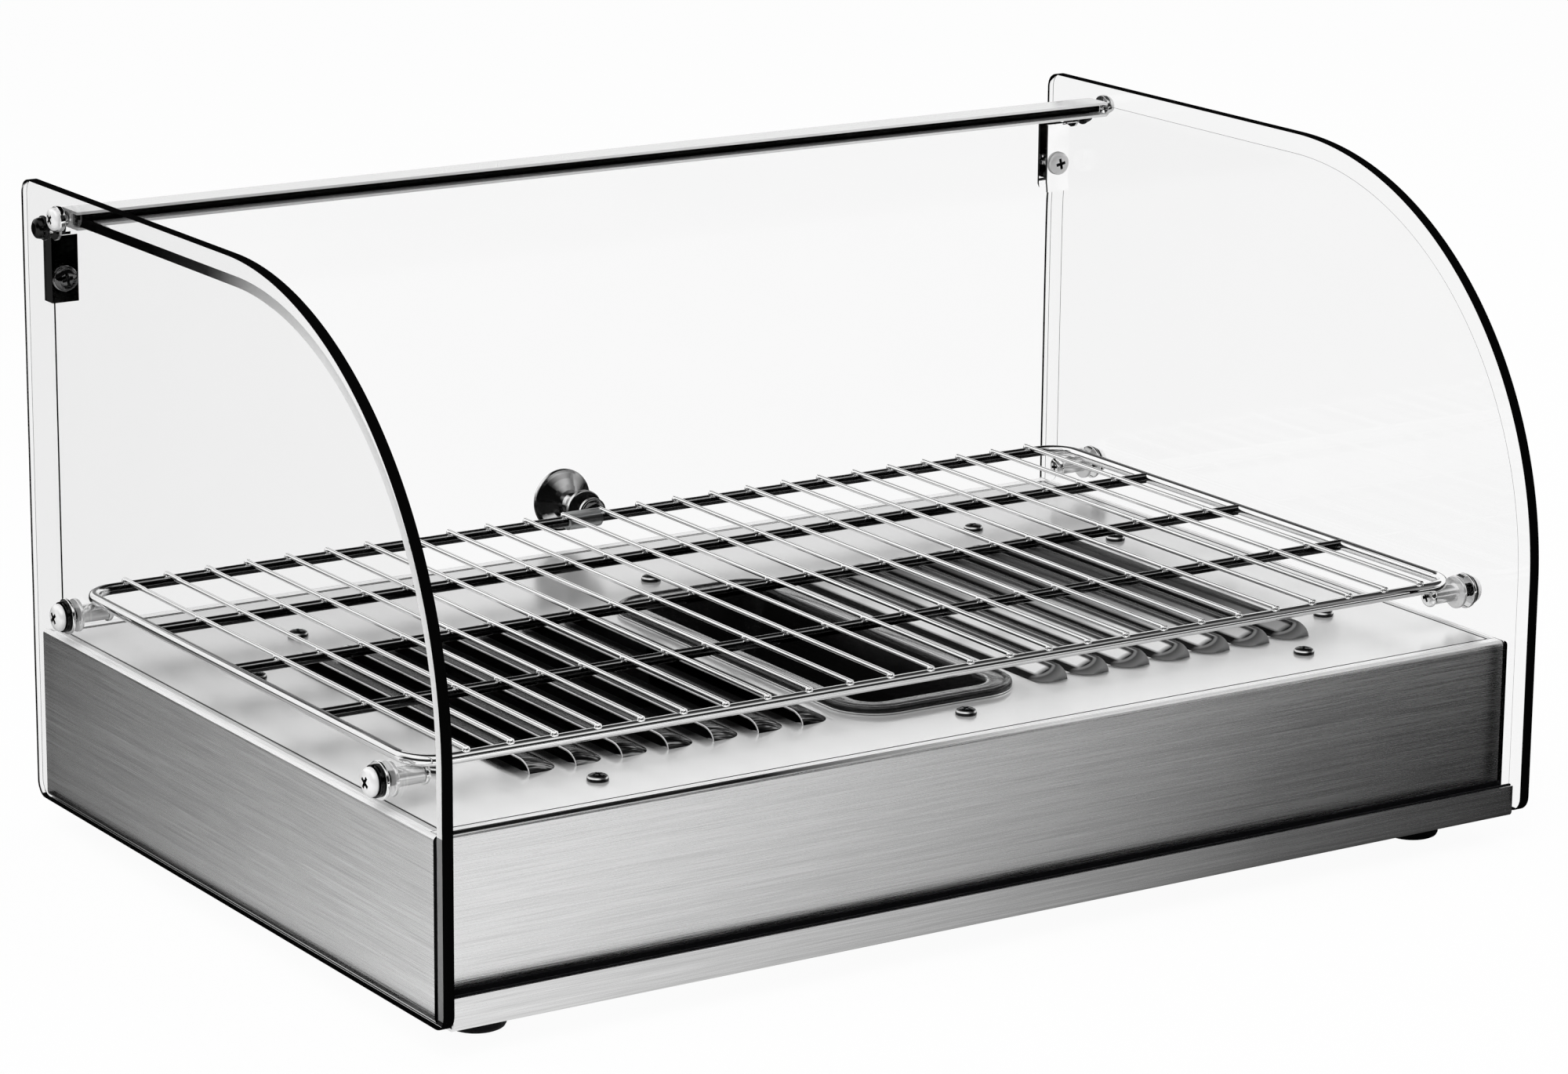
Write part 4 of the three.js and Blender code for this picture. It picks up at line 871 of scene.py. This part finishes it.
def door_pane():
    outline = round_rectangle(-DOOR_HALF, DOOR_HALF, DOOR_BOTTOM, DOOR_TOP, 4)
    x, z = CLIP_SCREW
    holes = [circle(u, v, 3.1) for u, v in ((0, RACK_Z), (-x, z), (x, z))]
    middle = (DOOR_FRONT + DOOR_REAR) / 2
    mesh = plate("door_pane", outline, holes, GLASS, across_y(middle), 0.5)

    def kind(face):
        if abs(face.normal.y) > 0.99:
            return 0
        return 1 if abs(face.normal.x) > 0.3 and face.normal.y < -0.3 else 2

    pane("door_pane", mesh, kind, [PANE, EDGE, PANE], "rear_door", "rear_door_glass")


# Wire rack

def rack():
    r = RACK_CORNER
    left, right, front, rear = r - RACK_HALF, RACK_HALF - r, RACK_FRONT + r, RACK_REAR - r
    corners = [(right, rear, 0), (left, rear, 90), (left, front, 180), (right, front, 270)]
    line = []
    for x, y, start in corners:
        line += [(u, v, RACK_Z) for u, v in arc(x, y, r, start, start + 90, 8)]
    bars = Skins()
    bars.tube(line, RACK_BAR, 16, True)
    ys = [RACK_FRONT + share * (RACK_REAR - RACK_FRONT) for share in CROSS_BARS]
    for y in ys:
        bars.tube([(-RACK_HALF, y, RACK_Z), (RACK_HALF, y, RACK_Z)], RACK_BAR, 16)
    piece("rack_bars", bars, [BARS], "wire_rack", "wire_rack")
    wires, welds = Skins(), Skins()
    z = RACK_Z + RACK_BAR + RACK_WIRE - 0.4
    pitch = 2 * RACK_HALF / (RACK_WIRES + 1)
    weld = [(0.05, 1.0), (0.9, 0.8), (1.5, 0.2), (1.75, -0.5), (1.6, -1.2), (0.05, -1.3)]
    for i in range(RACK_WIRES):
        x = (i + 1) * pitch - RACK_HALF
        wires.tube([(x, RACK_FRONT - 1.2, z), (x, RACK_REAR + 1.2, z)], RACK_WIRE, 12)
        for y in [RACK_FRONT, *ys, RACK_REAR]:
            welds.loft(lathe_rings(weld, "z", (x, y, z), 10))
    for name, skins in (("rack_wires", wires), ("rack_welds", welds)):
        piece(name, skins, [CHROME], "wire_rack")
    ring = rounded([(2.7, -18.9), (4.3, -18.9), (4.3, -1.4), (2.7, -1.4)], 0.5)
    name = "rack_clear_sleeve"
    sleeve = lathe(name, [*ring, ring[0]], "x", (0, RACK_REAR, RACK_Z), 32)
    piece(name, sleeve, [SLEEVE], "wire_rack", "rack_sleeve")


# Screws, washers and stand-offs

def crossed_head():
    """A pan head of radius 1 and height 1 that grows along +z, with a cross recess."""
    profile = [(0.01, -0.02), (0.97, -0.02), (1.0, 0.06), (1.0, 0.3), (0.97, 0.5),
               (0.88, 0.72), (0.7, 0.88), (0.45, 0.97), (0.01, 1.0)]
    skins = Skins()
    skins.loft(lathe_rings(profile, "z", (0, 0, 0), 40))
    head = bpy.data.meshes.new("head_form")
    head.from_pydata(skins.points, [], skins.faces)
    cross = bpy.data.meshes.new("cross_form")
    with shaping(cross) as cutter:
        for turn in (0, 90):
            made = bmesh.ops.create_cube(cutter, size=1.0)["verts"]
            bmesh.ops.scale(cutter, vec=(1.25, 0.26, 1.2), verts=made)
            for vert in made:
                if vert.co.z < 0:
                    vert.co.x *= 0.55
            bmesh.ops.translate(cutter, vec=(0, 0, 1.02), verts=made)
            spin = Matrix.Rotation(math.radians(turn), 3, "Z")
            bmesh.ops.rotate(cutter, cent=(0, 0, 0), matrix=spin, verts=made)
    whole, tool = linked("head_form", head), linked("cross_form", cross)
    edit = whole.modifiers.new("recess", "BOOLEAN")
    edit.operation, edit.solver = "DIFFERENCE", "EXACT"
    edit.object, edit.use_self = tool, True
    mesh = as_mesh(whole)
    bpy.data.objects.remove(tool)
    for polygon in mesh.polygons:
        centre, up = polygon.center, polygon.normal.z
        wall = centre.xy.length < 0.66 and centre.z < 0.86 and abs(up) < 0.99
        floor = centre.z < 0.5 and up > 0.99
        polygon.material_index = 1 if wall or floor else 0
    return mesh


HEAD = crossed_head()


def screw_head(name, radius, height, centre, way, turn, body, finish=CHROME):
    """A copy of the crossed head that grows a way from its centre."""
    mesh = HEAD.copy()
    mesh.name = name
    size = Matrix.Diagonal((radius * MM, radius * MM, height * MM, 1))
    spin = Matrix.Rotation(math.radians(turn), 4, "Z")
    aim = Vector(way).to_track_quat("Z", "Y").to_matrix().to_4x4()
    mesh.transform(Matrix.Translation(to_frame(centre)) @ aim @ spin @ size)
    kinds = [polygon.material_index for polygon in mesh.polygons]
    piece(name, mesh, [finish, RECESS], body, (), 40)
    mesh.polygons.foreach_set("material_index", kinds)


def split_washer(name, inner, outer, x0, x1, sense, centre, finish):
    """A spring washer: a ring with a slanted gap."""
    skins = Skins()
    rings = []
    for i in range(41):
        turn = math.radians(96 + 348 * i / 40)
        u, v = math.cos(turn), math.sin(turn)
        rise = (i / 40 - 0.5) * 0.5
        ring = []
        for radius, along in ((inner, x0), (outer, x0), (outer, x1), (inner, x1)):
            x = sense * (along + rise * (1 if along == x1 else 0.2))
            ring.append((x, centre[0] + radius * u, centre[1] + radius * v))
        rings.append(ring)
    skins.loft(rings)
    piece(name, skins, [finish], "case", (), 30, 0.15)


def crosswise(name, profile, sense, place, finish, replaced, sides=40):
    """A turned piece of the case along x, with its places given for the right side."""
    turned(name, [(r, sense * a) for r, a in profile], "x", (0, *place), finish,
           "case", replaced, sides)


def standoff(tag, sense, place, turn):
    """Spacer tube, outer washer and spring, bolt and inner cap screw of one stand-off."""
    flange = INNER - SLACK
    neck, tip = flange - SPACER_FLANGE, flange - SPACER_LENGTH
    tube = [(2.7, tip), (4.0, tip), (4.0, neck), (7.4, neck), (7.4, flange), (2.7, flange),
            (2.7, tip)]
    crosswise(f"spacer_{tag}", tube, sense, place, NICKEL, f"standoff_{tag}")
    low = HALF + SLACK
    high = low + OUTER_WASHER
    ring = [(3.0, low), (8.0, low), (8.0, high), (3.0, high), (3.0, low)]
    crosswise(f"washer_{tag}", ring, sense, place, CHROME, f"standoff_washer_{tag}")
    spring = high + SLACK
    crown = spring + SPRING_WASHER
    crosswise(f"shank_{tag}", stepped((2.4, INNER - SHANK_REACH, crown)), sense, place, DARK_METAL,
              f"standoff_bolt_{tag}", 24)
    split_washer(f"spring_{tag}", 2.6, 6.8, spring + 0.1, crown - 0.4, sense, place, DARK_METAL)
    screw_head(f"bolt_head_{tag}", 6.0, 3.4, (sense * crown, *place), (sense, 0, 0), turn,
               "case", ZINC)
    face = tip - SLACK
    crosswise(f"cap_stem_{tag}", stepped((2.3, face - 0.2, face + 5)), sense, place, CHROME,
              f"standoff_cap_{tag}", 24)
    screw_head(f"cap_head_{tag}", 4.8, 2.8, (sense * face, *place), (-sense, 0, 0), turn + 20,
               "case")


def upper_fasteners(side, sense):
    """The rail's screw, the door's hinge pin, and the screw and nut of its clip."""
    low = HALF + SLACK
    crown = low + RAIL_WASHER
    shank = stepped((2.0, RAIL_TIP, low), (5.6, low, crown))
    crosswise(f"rail_washer_{side}", shank, sense, RAIL_SCREW, CHROME, f"rail_screw_{side}")
    screw_head(f"rail_head_{side}", 5.0, 3.0, (sense * crown, *RAIL_SCREW), (sense, 0, 0), 45,
               "case", ZINC)
    crown = low + PIN_FLANGE
    pin = [(0.01, EAR - 2.6), (3.9, EAR - 2.6), (3.9, EAR), (2.5, EAR), (2.5, low), (5.4, low),
           (5.4, crown), (4.7, crown), (4.7, crown + 1.4), (4.2, crown + 3.0),
           (2.6, crown + 4.0), (0.01, crown + 4.2)]
    crosswise(f"pin_{side}", pin, sense, PIVOT, DARK_METAL, f"hinge_pin_{side}")
    x, z = CLIP_SCREW
    face = DOOR_FRONT - FIT - SHEET - SLACK
    nut = DOOR_REAR + FIT + SHEET + SLACK
    stem = stepped((2.5, face - 0.1, nut), (4.2, nut, nut + 2.4))
    turned(f"clip_nut_{side}", stem, "y", (sense * x, 0, z), CHROME, "rear_door",
           f"hinge_clip_screw_{side}", 6, 0.2)
    # The left clip's head is dark steel and the right one bright zinc: painted shade and painted
    # highlight on a pair of like screws.
    screw_head(f"clip_head_{side}", 5.6, 2.6, (sense * x, face, z), (0, -1, 0), 12,
               "rear_door", ZINC if sense > 0 else SCREW_STEEL)


def knob():
    seat, centre = DOOR_REAR + FIT, (0, 0, RACK_Z)
    profile = [(2.6, 0), (8.6, 0), (9.0, 0.4), (9.0, 2.2), (8.2, 3.0), (6.6, 4.4), (5.6, 6.2),
               (5.0, 8.4), (4.9, 10.2), (5.3, 12.2), (6.4, 14.2), (8.4, 16.2), (11.2, 18.0),
               (13.6, 19.3), (14.7, 20.4), (15.0, 21.4), (14.9, 22.4), (14.2, 23.3),
               (12.6, 23.9), (11.6, 23.7), (9.8, 23.9), (6.0, 24.5), (0.01, 24.9)]
    turned("knob", [(r, seat + a) for r, a in profile], "y", centre, KNOB, "rear_door",
           "door_knob", 64, 0.2)
    face = DOOR_FRONT - SLACK
    inner = [(2.3, DOOR_REAR + 10), (2.3, face), (7.0, face), (7.0, face - 1.8),
             (6.2, face - 1.8), (6.2, face - 2.2), (5.8, face - 2.2), (0.01, face - 2.2)]
    turned("knob_washer", inner, "y", centre, KNOB, "rear_door",
           "door_knob_screw")
    screw_head("knob_screw_head", 5.8, 2.5, (0, face - 2.2, RACK_Z), (0, -1, 0), 30,
               "rear_door", SCREW_STEEL)


def foot(end, side, sense):
    profile = [(0.01, 7), (4.6, 7), (5.0, 6.6), (5.0, 0.6), (5.6, 0), (10.6, 0), (11.8, 0.6),
               (12.4, 1.8), (12.4, 4.4), (12.0, 4.9), (12.2, 5.4), (12.2, 7), (11.4, 11.6),
               (11.0, 12.5), (0.01, 12.5)]
    turned(f"rubber_foot_{end}_{side}", profile, "z", (sense * FOOT_X, FOOT_Y[end], 0),
           RUBBER, "case", f"foot_{end}_{side}", 48, 0.25)


# Top plate, louvres and pan

def deck():
    reach = (LOUVRE_LENGTH - LOUVRE_END) / 2
    half, front, rear = PAN_WIDTH / 2 - PAN_LEDGE, PAN_FRONT + PAN_LEDGE, PAN_REAR - PAN_LEDGE
    holes = [round_rectangle(-half, half, front, rear, 11.5)]
    hoods = Skins()
    for sense in (-1, 1):
        for i in range(LOUVRES):
            mouth = LOUVRE_OUTER - i * LOUVRE_PITCH
            ends = sorted((sense * mouth, sense * (mouth - LOUVRE_WIDTH * LOUVRE_SLOT)))
            slot = round_rectangle(*ends, LOUVRE_MIDDLE - reach, LOUVRE_MIDDLE + reach, 2, 3)
            holes.append(slot)
            stamp_hood(hoods, mouth, sense)
    outline = round_rectangle(-DECK_HALF, DECK_HALF, DECK_FRONT, DECK_REAR, 0.8, 3)
    mesh = plate("deck_plate", outline, [list(reversed(h)) for h in holes], SHEET,
                 across_z(DECK_TOP - SHEET / 2), 0.25)
    piece("deck_plate", mesh, [DECK_PLATE], "case", "top_plate", 15)
    # The hoods' undersides take the near-black recess finish as painted shade, and their cut rims
    # bright zinc as a painted highlight.
    louvres = piece("deck_louvres", hoods, [HOOD, RECESS, ZINC], "case",
                    (), 50)
    thick = louvres.modifiers.new("sheet", "SOLIDIFY")
    thick.thickness = 1.0 * MM
    thick.offset = -1
    thick.material_offset = 1
    thick.material_offset_rim = 2
    skirt = Skins()
    inner_front, inner_rear = DECK_FRONT + SHEET, DECK_REAR - SHEET
    for x0, x1, y0, y1 in ((-DECK_HALF, DECK_HALF, DECK_FRONT, inner_front),
                           (-DECK_HALF, DECK_HALF, inner_rear, DECK_REAR),
                           (-DECK_HALF, SHEET - DECK_HALF, inner_front, inner_rear),
                           (DECK_HALF - SHEET, DECK_HALF, inner_front, inner_rear)):
        skirt.loft([[(x0, y0, z), (x1, y0, z), (x1, y1, z), (x0, y1, z)] for z in DECK_SKIRT])
    piece("deck_skirt", skirt, [DECK], "case", (), 0)
    for i, (x, y) in enumerate(DECK_SCREWS):
        screw_head(f"deck_screw_{i}", 4.6, 2.8, (x, y, DECK_TOP - 0.05), (0, 0, 1), 23 * i,
                   "case", DOME)


def stamp_hood(skins, mouth, sense):
    """Adds one hood: open at its mouth, sloping to the plate, with rounded ends."""
    stations = []
    for i in range(11):
        angle = math.pi / 2 * i / 10
        offset = LOUVRE_LENGTH / 2 - LOUVRE_END * (1 - math.cos(angle))
        stations.append((offset, math.sin(angle)))
    line = [(-offset, scale) for offset, scale in stations] + stations[::-1]
    count = 13
    first = len(skins.points)
    for offset, scale in line:
        height = max(LOUVRE_HEIGHT * scale, 0.05)
        width = LOUVRE_WIDTH * (0.5 + 0.5 * scale)
        for i in range(count):
            t = i / (count - 1)
            along = 2 * t * (1 - t) * 0.45 + t * t
            rise = (1 - t) ** 2 + 2 * t * (1 - t)
            skins.points.append((sense * (mouth - width * along), LOUVRE_MIDDLE + offset,
                                 DECK_TOP + height * rise - 0.1))
    for i in range(len(line) - 1):
        for j in range(count - 1):
            a = first + i * count + j
            face = (a, a + 1, a + 1 + count, a + count)
            skins.faces.append(face if sense > 0 else tuple(reversed(face)))


def pan():
    """A shell lofted from rows of (inset, height), from its underside over the rim to its well."""
    foot = DECK_TOP + FIT
    floor = DECK_TOP - PAN_DEPTH
    under = [(16.5, floor - 1), (15.5, floor), (11.8, foot - 1.5), (11.0, foot + 0.4),
             (10.0, foot + 1.4), (1.5, foot + 1.8), (0.8, foot), (0.0, foot)]
    rim = [(0.0, 0.5), (0.1, 2.2), (0.4, 2.8), (1.0, 3.2), (1.8, 3.3), (2.6, 3.1), (3.1, 2.6),
           (3.6, 2.6), (4.2, 2.9), (10.2, 2.7), (11.0, 2.5), (11.6, 1.8), (12.2, 0.4)]
    well = [(16.0, floor + 3), (17.5, floor + 1), (21.0, floor)]
    rings = []
    for inset, z in under + [(inset, foot + rise) for inset, rise in rim] + well:
        half = PAN_WIDTH / 2 - inset
        outline = round_rectangle(-half, half, PAN_FRONT + inset, PAN_REAR - inset,
                                  max(PAN_CORNER - inset, 1), 10)
        rings.append([(u, v, z) for u, v in outline])
    skins = Skins()
    skins.loft(rings)
    piece("pan_shell", skins, [PAN], "water_pan",
          "water_pan", 50)


# Rear controls

def from_face(rows):
    """A profile along y with its places given from the controls' face."""
    return [(r, CONTROL_FACE + a, *form) for r, a, *form in rows]


def facing_rear(x, y, z, turn=0.0):
    """Carries a drawing seen from the rear to a place, turned about the rear's own axis."""
    flat = Matrix(((-1, 0, 0, 0), (0, 0, 1, 0), (0, 1, 0, 0), (0, 0, 0, 1)))
    return Matrix.Translation(to_frame((x, y, z))) @ flat @ Matrix.Rotation(turn, 4, "Z")


def figure(name, text, size, place, body):
    """A printed figure as a thin flat mesh."""
    curve = bpy.data.curves.new(name, "FONT")
    curve.body = text
    curve.size = size * MM
    curve.align_x, curve.align_y = "CENTER", "CENTER"
    curve.extrude = 0.03 * MM
    mesh = as_mesh(linked(name, curve))
    mesh.materials.clear()
    mesh.transform(place)
    mesh.name = name
    piece(name, mesh, [PRINT_WHITE], body, (), 0)


def dial():
    """Ribbed knob with a grip bar over its numbered skirt, and the panel's mark for it."""
    rows = from_face([
        (0.01, -12.5), (3.0, -12.5), (3.0, 0), (18.6, 0), (19.0, 0.4), (19.0, 2.3), (18.6, 2.8),
        (18.0, 3.0), (16.4, 3.0), (16.1, 3.4, "ribs"), (15.9, 4.2, "ribs"), (15.0, 8.8, "ribs"),
        (14.5, 9.6), (13.6, 10.0), (0.01, 10.0)])
    mesh = lathe("dial_knob", rows, "y", (DIAL_X, 0, CONTROL_Z), 96)
    piece("dial_knob", mesh, [PLASTIC], "thermostat_dial",
          "thermostat_dial", 30)
    grip = Skins()
    rings = []
    for half, reach, y in ((2.9, 14.4, 9.0), (2.6, 14.2, 12.6), (2.3, 13.9, 14.3),
                           (1.7, 13.3, 14.9), (1.0, 12.6, 15.0)):
        outline = round_rectangle(DIAL_X - half, DIAL_X + half, CONTROL_Z - reach,
                                  CONTROL_Z + reach, half * 0.9, 5)
        rings.append([(u, CONTROL_FACE + y, v) for u, v in outline])
    grip.loft(rings)
    piece("dial_grip", grip, [PLASTIC], "thermostat_dial",
          (), 40)
    for i in range(FIGURES):
        turn = math.radians(30 * i)
        x = DIAL_X + FIGURE_CIRCLE * math.sin(turn)
        z = CONTROL_Z + FIGURE_CIRCLE * math.cos(turn)
        figure(f"dial_figure_{i}", str(i), 2.9, facing_rear(x, CONTROL_FACE + 3.02, z, turn),
               "thermostat_dial")
    mark = Skins()
    low, high = DIAL_MARK
    x0, x1 = DIAL_X - 0.6, DIAL_X + 0.6
    mark.loft([[(x0, y, low), (x1, y, low), (x1, y, high), (x0, y, high)]
               for y in (PANEL_FACE, PANEL_FACE + 0.06)])
    piece("dial_mark", mark, [PRINT_BLACK], "case", (), 0)


def rocker_marks():
    """A line and a ring, printed on the rocker's two halves."""
    middle = to_frame((SWITCH_X, CONTROL_FACE, CONTROL_Z))
    hinge = (Matrix.Translation(middle) @ Matrix.Rotation(ROCKER_REST, 4, "X")
             @ Matrix.Translation(-middle))
    y = CONTROL_FACE + ROCKER_RISE + ROCKER_SLOPE * ROCKER_MARK + 0.04
    for text, sense in (("I", 1), ("O", -1)):
        lean = Matrix.Rotation(sense * math.atan(ROCKER_SLOPE), 4, "X")
        place = facing_rear(SWITCH_X, y, CONTROL_Z + sense * ROCKER_MARK)
        figure(f"rocker_mark_{text}", text, 3.6, hinge @ place @ lean, "switch_rocker")


def pilot():
    centre = (LAMP_X, 0, CONTROL_Z)
    bezel = from_face([(0.01, -19.9), (5.4, -19.9), (5.4, 0), (7.0, 0), (7.0, 1.0), (6.4, 1.6),
                        (5.3, 1.6), (5.1, 0.9), (0.01, 0.9)])
    turned("pilot_bezel", bezel, "y", centre, PLASTIC, "case", "pilot_lamp",
           48, 0.2)
    lens = from_face([(0.01, 0.8), (5.0, 0.8), (5.0, 2.6), (4.8, 3.6), (4.2, 4.5), (3.3, 5.1),
                       (3.1, 5.0), (2.0, 5.45), (1.8, 5.35), (0.01, 5.55)])
    turned("pilot_lens", lens, "y", centre, LAMP, "case", (), 48, 0.1)


def gland():
    """Empty gland: a hexagonal neck, a ribbed dome nut and a bore."""
    rows = from_face([
        (0.01, -16.3), (4.2, -16.3), (8.0, -16.3), (8.0, 0), (10.2, 0, "hex"), (11.0, 0.5, "hex"),
        (11.0, 4.5, "hex"), (10.4, 5.0, "hex"), (9.4, 5.0), (9.8, 5.4, "ribs"),
        (9.8, 9.8, "ribs"), (9.3, 10.8, "ribs"), (7.4, 14.6), (6.8, 15.0), (4.8, 15.0),
        (4.2, 14.4), (4.2, 6.0), (0.01, 5.5)])
    mesh = lathe("gland_body", rows, "y", (GLAND_X, 0, GLAND_Z), 96)
    piece("gland_body", mesh, [PLASTIC], "case", "cable_gland", 25)


# All the pieces

for side, sense in SIDES:
    side_pane(side, sense)
bent_pane()
door_pane()
rack()
head_turn = 20
for end, y in STANDOFF_Y.items():
    for side, sense in SIDES:
        head_turn += 37
        standoff(f"{end}_{side}", sense, (y, STANDOFF_Z), head_turn)
for side, sense in SIDES:
    upper_fasteners(side, sense)
knob()
for end in FOOT_Y:
    for side, sense in SIDES:
        foot(end, side, sense)
deck()
pan()
dial()
rocker_marks()
pilot()
gland()


# Finishes of the frame's own nodes

def finish(material, *names):
    for name in names:
        for one in nodes[name].material_slots:
            one.link = "OBJECT"
            one.material = material


finish(STEEL_X, "front_fascia", "bottom_tray", "rear_panel")
finish(STEEL_Y, "side_panel_left", "side_panel_right")
finish(STEEL_IN, "support_front", "support_rear", "heat_shield", "element_saddle_left",
       "element_saddle_right")
finish(DECK, "top_rail")
finish(CHROME, "hinge_clip_left", "hinge_clip_right", "thermostat_bulb")
finish(RUBBER, "gutter_strip")
finish(HEATER, "heating_element_left", "heating_element_right")
finish(CERAMIC, "thermostat_body", "terminal_block")
finish(PLASTIC, "switch_body", "switch_rocker")


# Camera, floor, world and lamps

YAW, PITCH, ROLL = (math.radians(a) for a in (33.053, 14.557, -0.4975))
CAMERA_PLACE = (-1.2275, -1.89185, 0.7214)
LENS = 121.01
FLOOR_REACH = 20
FLOOR_Z = -0.0003


def set_camera():
    data = bpy.data.cameras.new("camera")
    camera = linked("camera", data)
    flat = math.cos(PITCH)
    ahead = Vector((math.sin(YAW) * flat, math.cos(YAW) * flat, -math.sin(PITCH)))
    level = Vector((math.cos(YAW), -math.sin(YAW), 0))
    below = ahead.cross(level)
    right = level * math.cos(ROLL) + below * math.sin(ROLL)
    down = below * math.cos(ROLL) - level * math.sin(ROLL)
    turn = Matrix((right, -down, -ahead)).transposed()
    camera.matrix_world = Matrix.Translation(CAMERA_PLACE) @ turn.to_4x4()
    data.lens = LENS
    data.sensor_width = 36
    data.clip_start, data.clip_end = 0.05, 100
    bpy.context.scene.camera = camera


def set_world():
    """White to the camera. The steel mirrors a room that is brighter behind and to the left."""
    world = bpy.data.worlds.new("studio")
    bpy.context.scene.world = world
    t = Tree(world)
    x, y, z = t.parts(t.place("Generated"))
    height = t.rise(z, -0.1, 1)
    back_wall = t.ramp(height, [
        (0.0, 0.02), (0.12, 0.04), (0.17, 0.95), (0.50, 1.0), (0.56, 0.05), (1.0, 0.02)])
    left_high = t.rise(x, -0.02, -0.12) * t.rise(z, 0.3, 0.4)
    back_wall = t.mix(left_high, back_wall, WHITE)
    room = t.ramp(height, [
        (0.0, 0.10), (0.2, 0.02), (0.55, 0.02), (0.68, 0.9), (0.85, 1.0), (1.0, 0.95)])
    front = t.rise(x * -0.55 + y * -0.83, -0.15, 0.25)
    shown = t.mix(not_mirrored(t), BLACK, t.mix(front, back_wall, room))
    white = t.mix(seen_through(t), shown, WHITE)
    shade = t.node("ShaderNodeBackground", {"Color": white, "Strength": 1.0})
    t.out(shade.outputs["Background"], "ShaderNodeOutputWorld")


def set_floor():
    """White paper, which the steel mirrors as light and dark patches round the case."""
    made, t = material("floor_paper")
    x, y, _ = t.parts(t.node("ShaderNodeNewGeometry").outputs["Position"])
    fibres = t.noise(60, detail=3.0)
    paper = t.node("ShaderNodeBsdfDiffuse", {
        "Color": tinted(t, fibres, (0.93, 0.93, 0.93), 0.01)})
    left_rear = t.spread(y, 0, 0.10, 0.15, 0.40) * (x < -0.3)
    slant = x + y - left_rear
    near = t.ramp(t.rise(slant, -0.8, 0.4), [
        (0.0, 1.0), (0.26, 0.98), (0.62, 0.12), (0.75, 0.02)])
    ahead = t.ramp(t.rise(x, 0.55, 0.75))
    shade = t.mix(t.rise(y, -0.70, -0.80), near, ahead)
    behind = t.rise(y, 0.20, 0.30) * t.rise(x, -0.26, -0.16)
    beside = t.rise(x, 0.30, 0.40) * t.rise(y, -0.16, -0.06)
    around = t.most(behind, beside) * t.spread(y, 1, 0, 0.9, 1.2)
    shade = t.mix(around, shade, t.ramp(t.rise(slant, -0.1, 1.4), [
        (0.0, 0.75), (0.5, 0.5), (1.0, 0.2)]))
    glow = t.node("ShaderNodeEmission", {"Color": shade, "Strength": not_mirrored(t)})
    white = t.node("ShaderNodeEmission", {"Color": WHITE, "Strength": 1.0})
    first = t.node("ShaderNodeMixShader", {
        0: t.light_path("Is Glossy Ray"), 1: paper.outputs[0], 2: glow.outputs[0]})
    last = t.node("ShaderNodeMixShader", {
        0: seen_through(t) * 0.95, 1: first.outputs[0], 2: white.outputs[0]})
    t.out(last.outputs[0])
    sheet = bpy.data.meshes.new("floor")
    sheet.from_pydata([(x * FLOOR_REACH, y * FLOOR_REACH, 0)
                       for x, y in ((-1, -1), (1, -1), (1, 1), (-1, 1))], [], [(0, 1, 2, 3)])
    sheet.materials.append(made)
    floor = linked("floor", sheet)
    floor.location.z = FLOOR_Z


def lamp(name, place, size, power, aim=(0, 0, 0.12)):
    data = bpy.data.lights.new(name, "AREA")
    data.shape = "RECTANGLE"
    data.size, data.size_y = size
    data.energy = power
    made = linked(name, data)
    made.location = place
    made.rotation_mode = "QUATERNION"
    made.rotation_quaternion = (Vector(aim) - Vector(place)).to_track_quat("-Z", "Y")
    made.visible_glossy = False


set_camera()
set_world()
set_floor()
lamp("key_lamp", (-1.4, -1.2, 2.0), (1.4, 1.4), 30.5)
lamp("fill_lamp", (1.6, 0.2, 1.8), (1.2, 1.2), 14)

bpy.context.scene.view_settings.view_transform = "Standard"
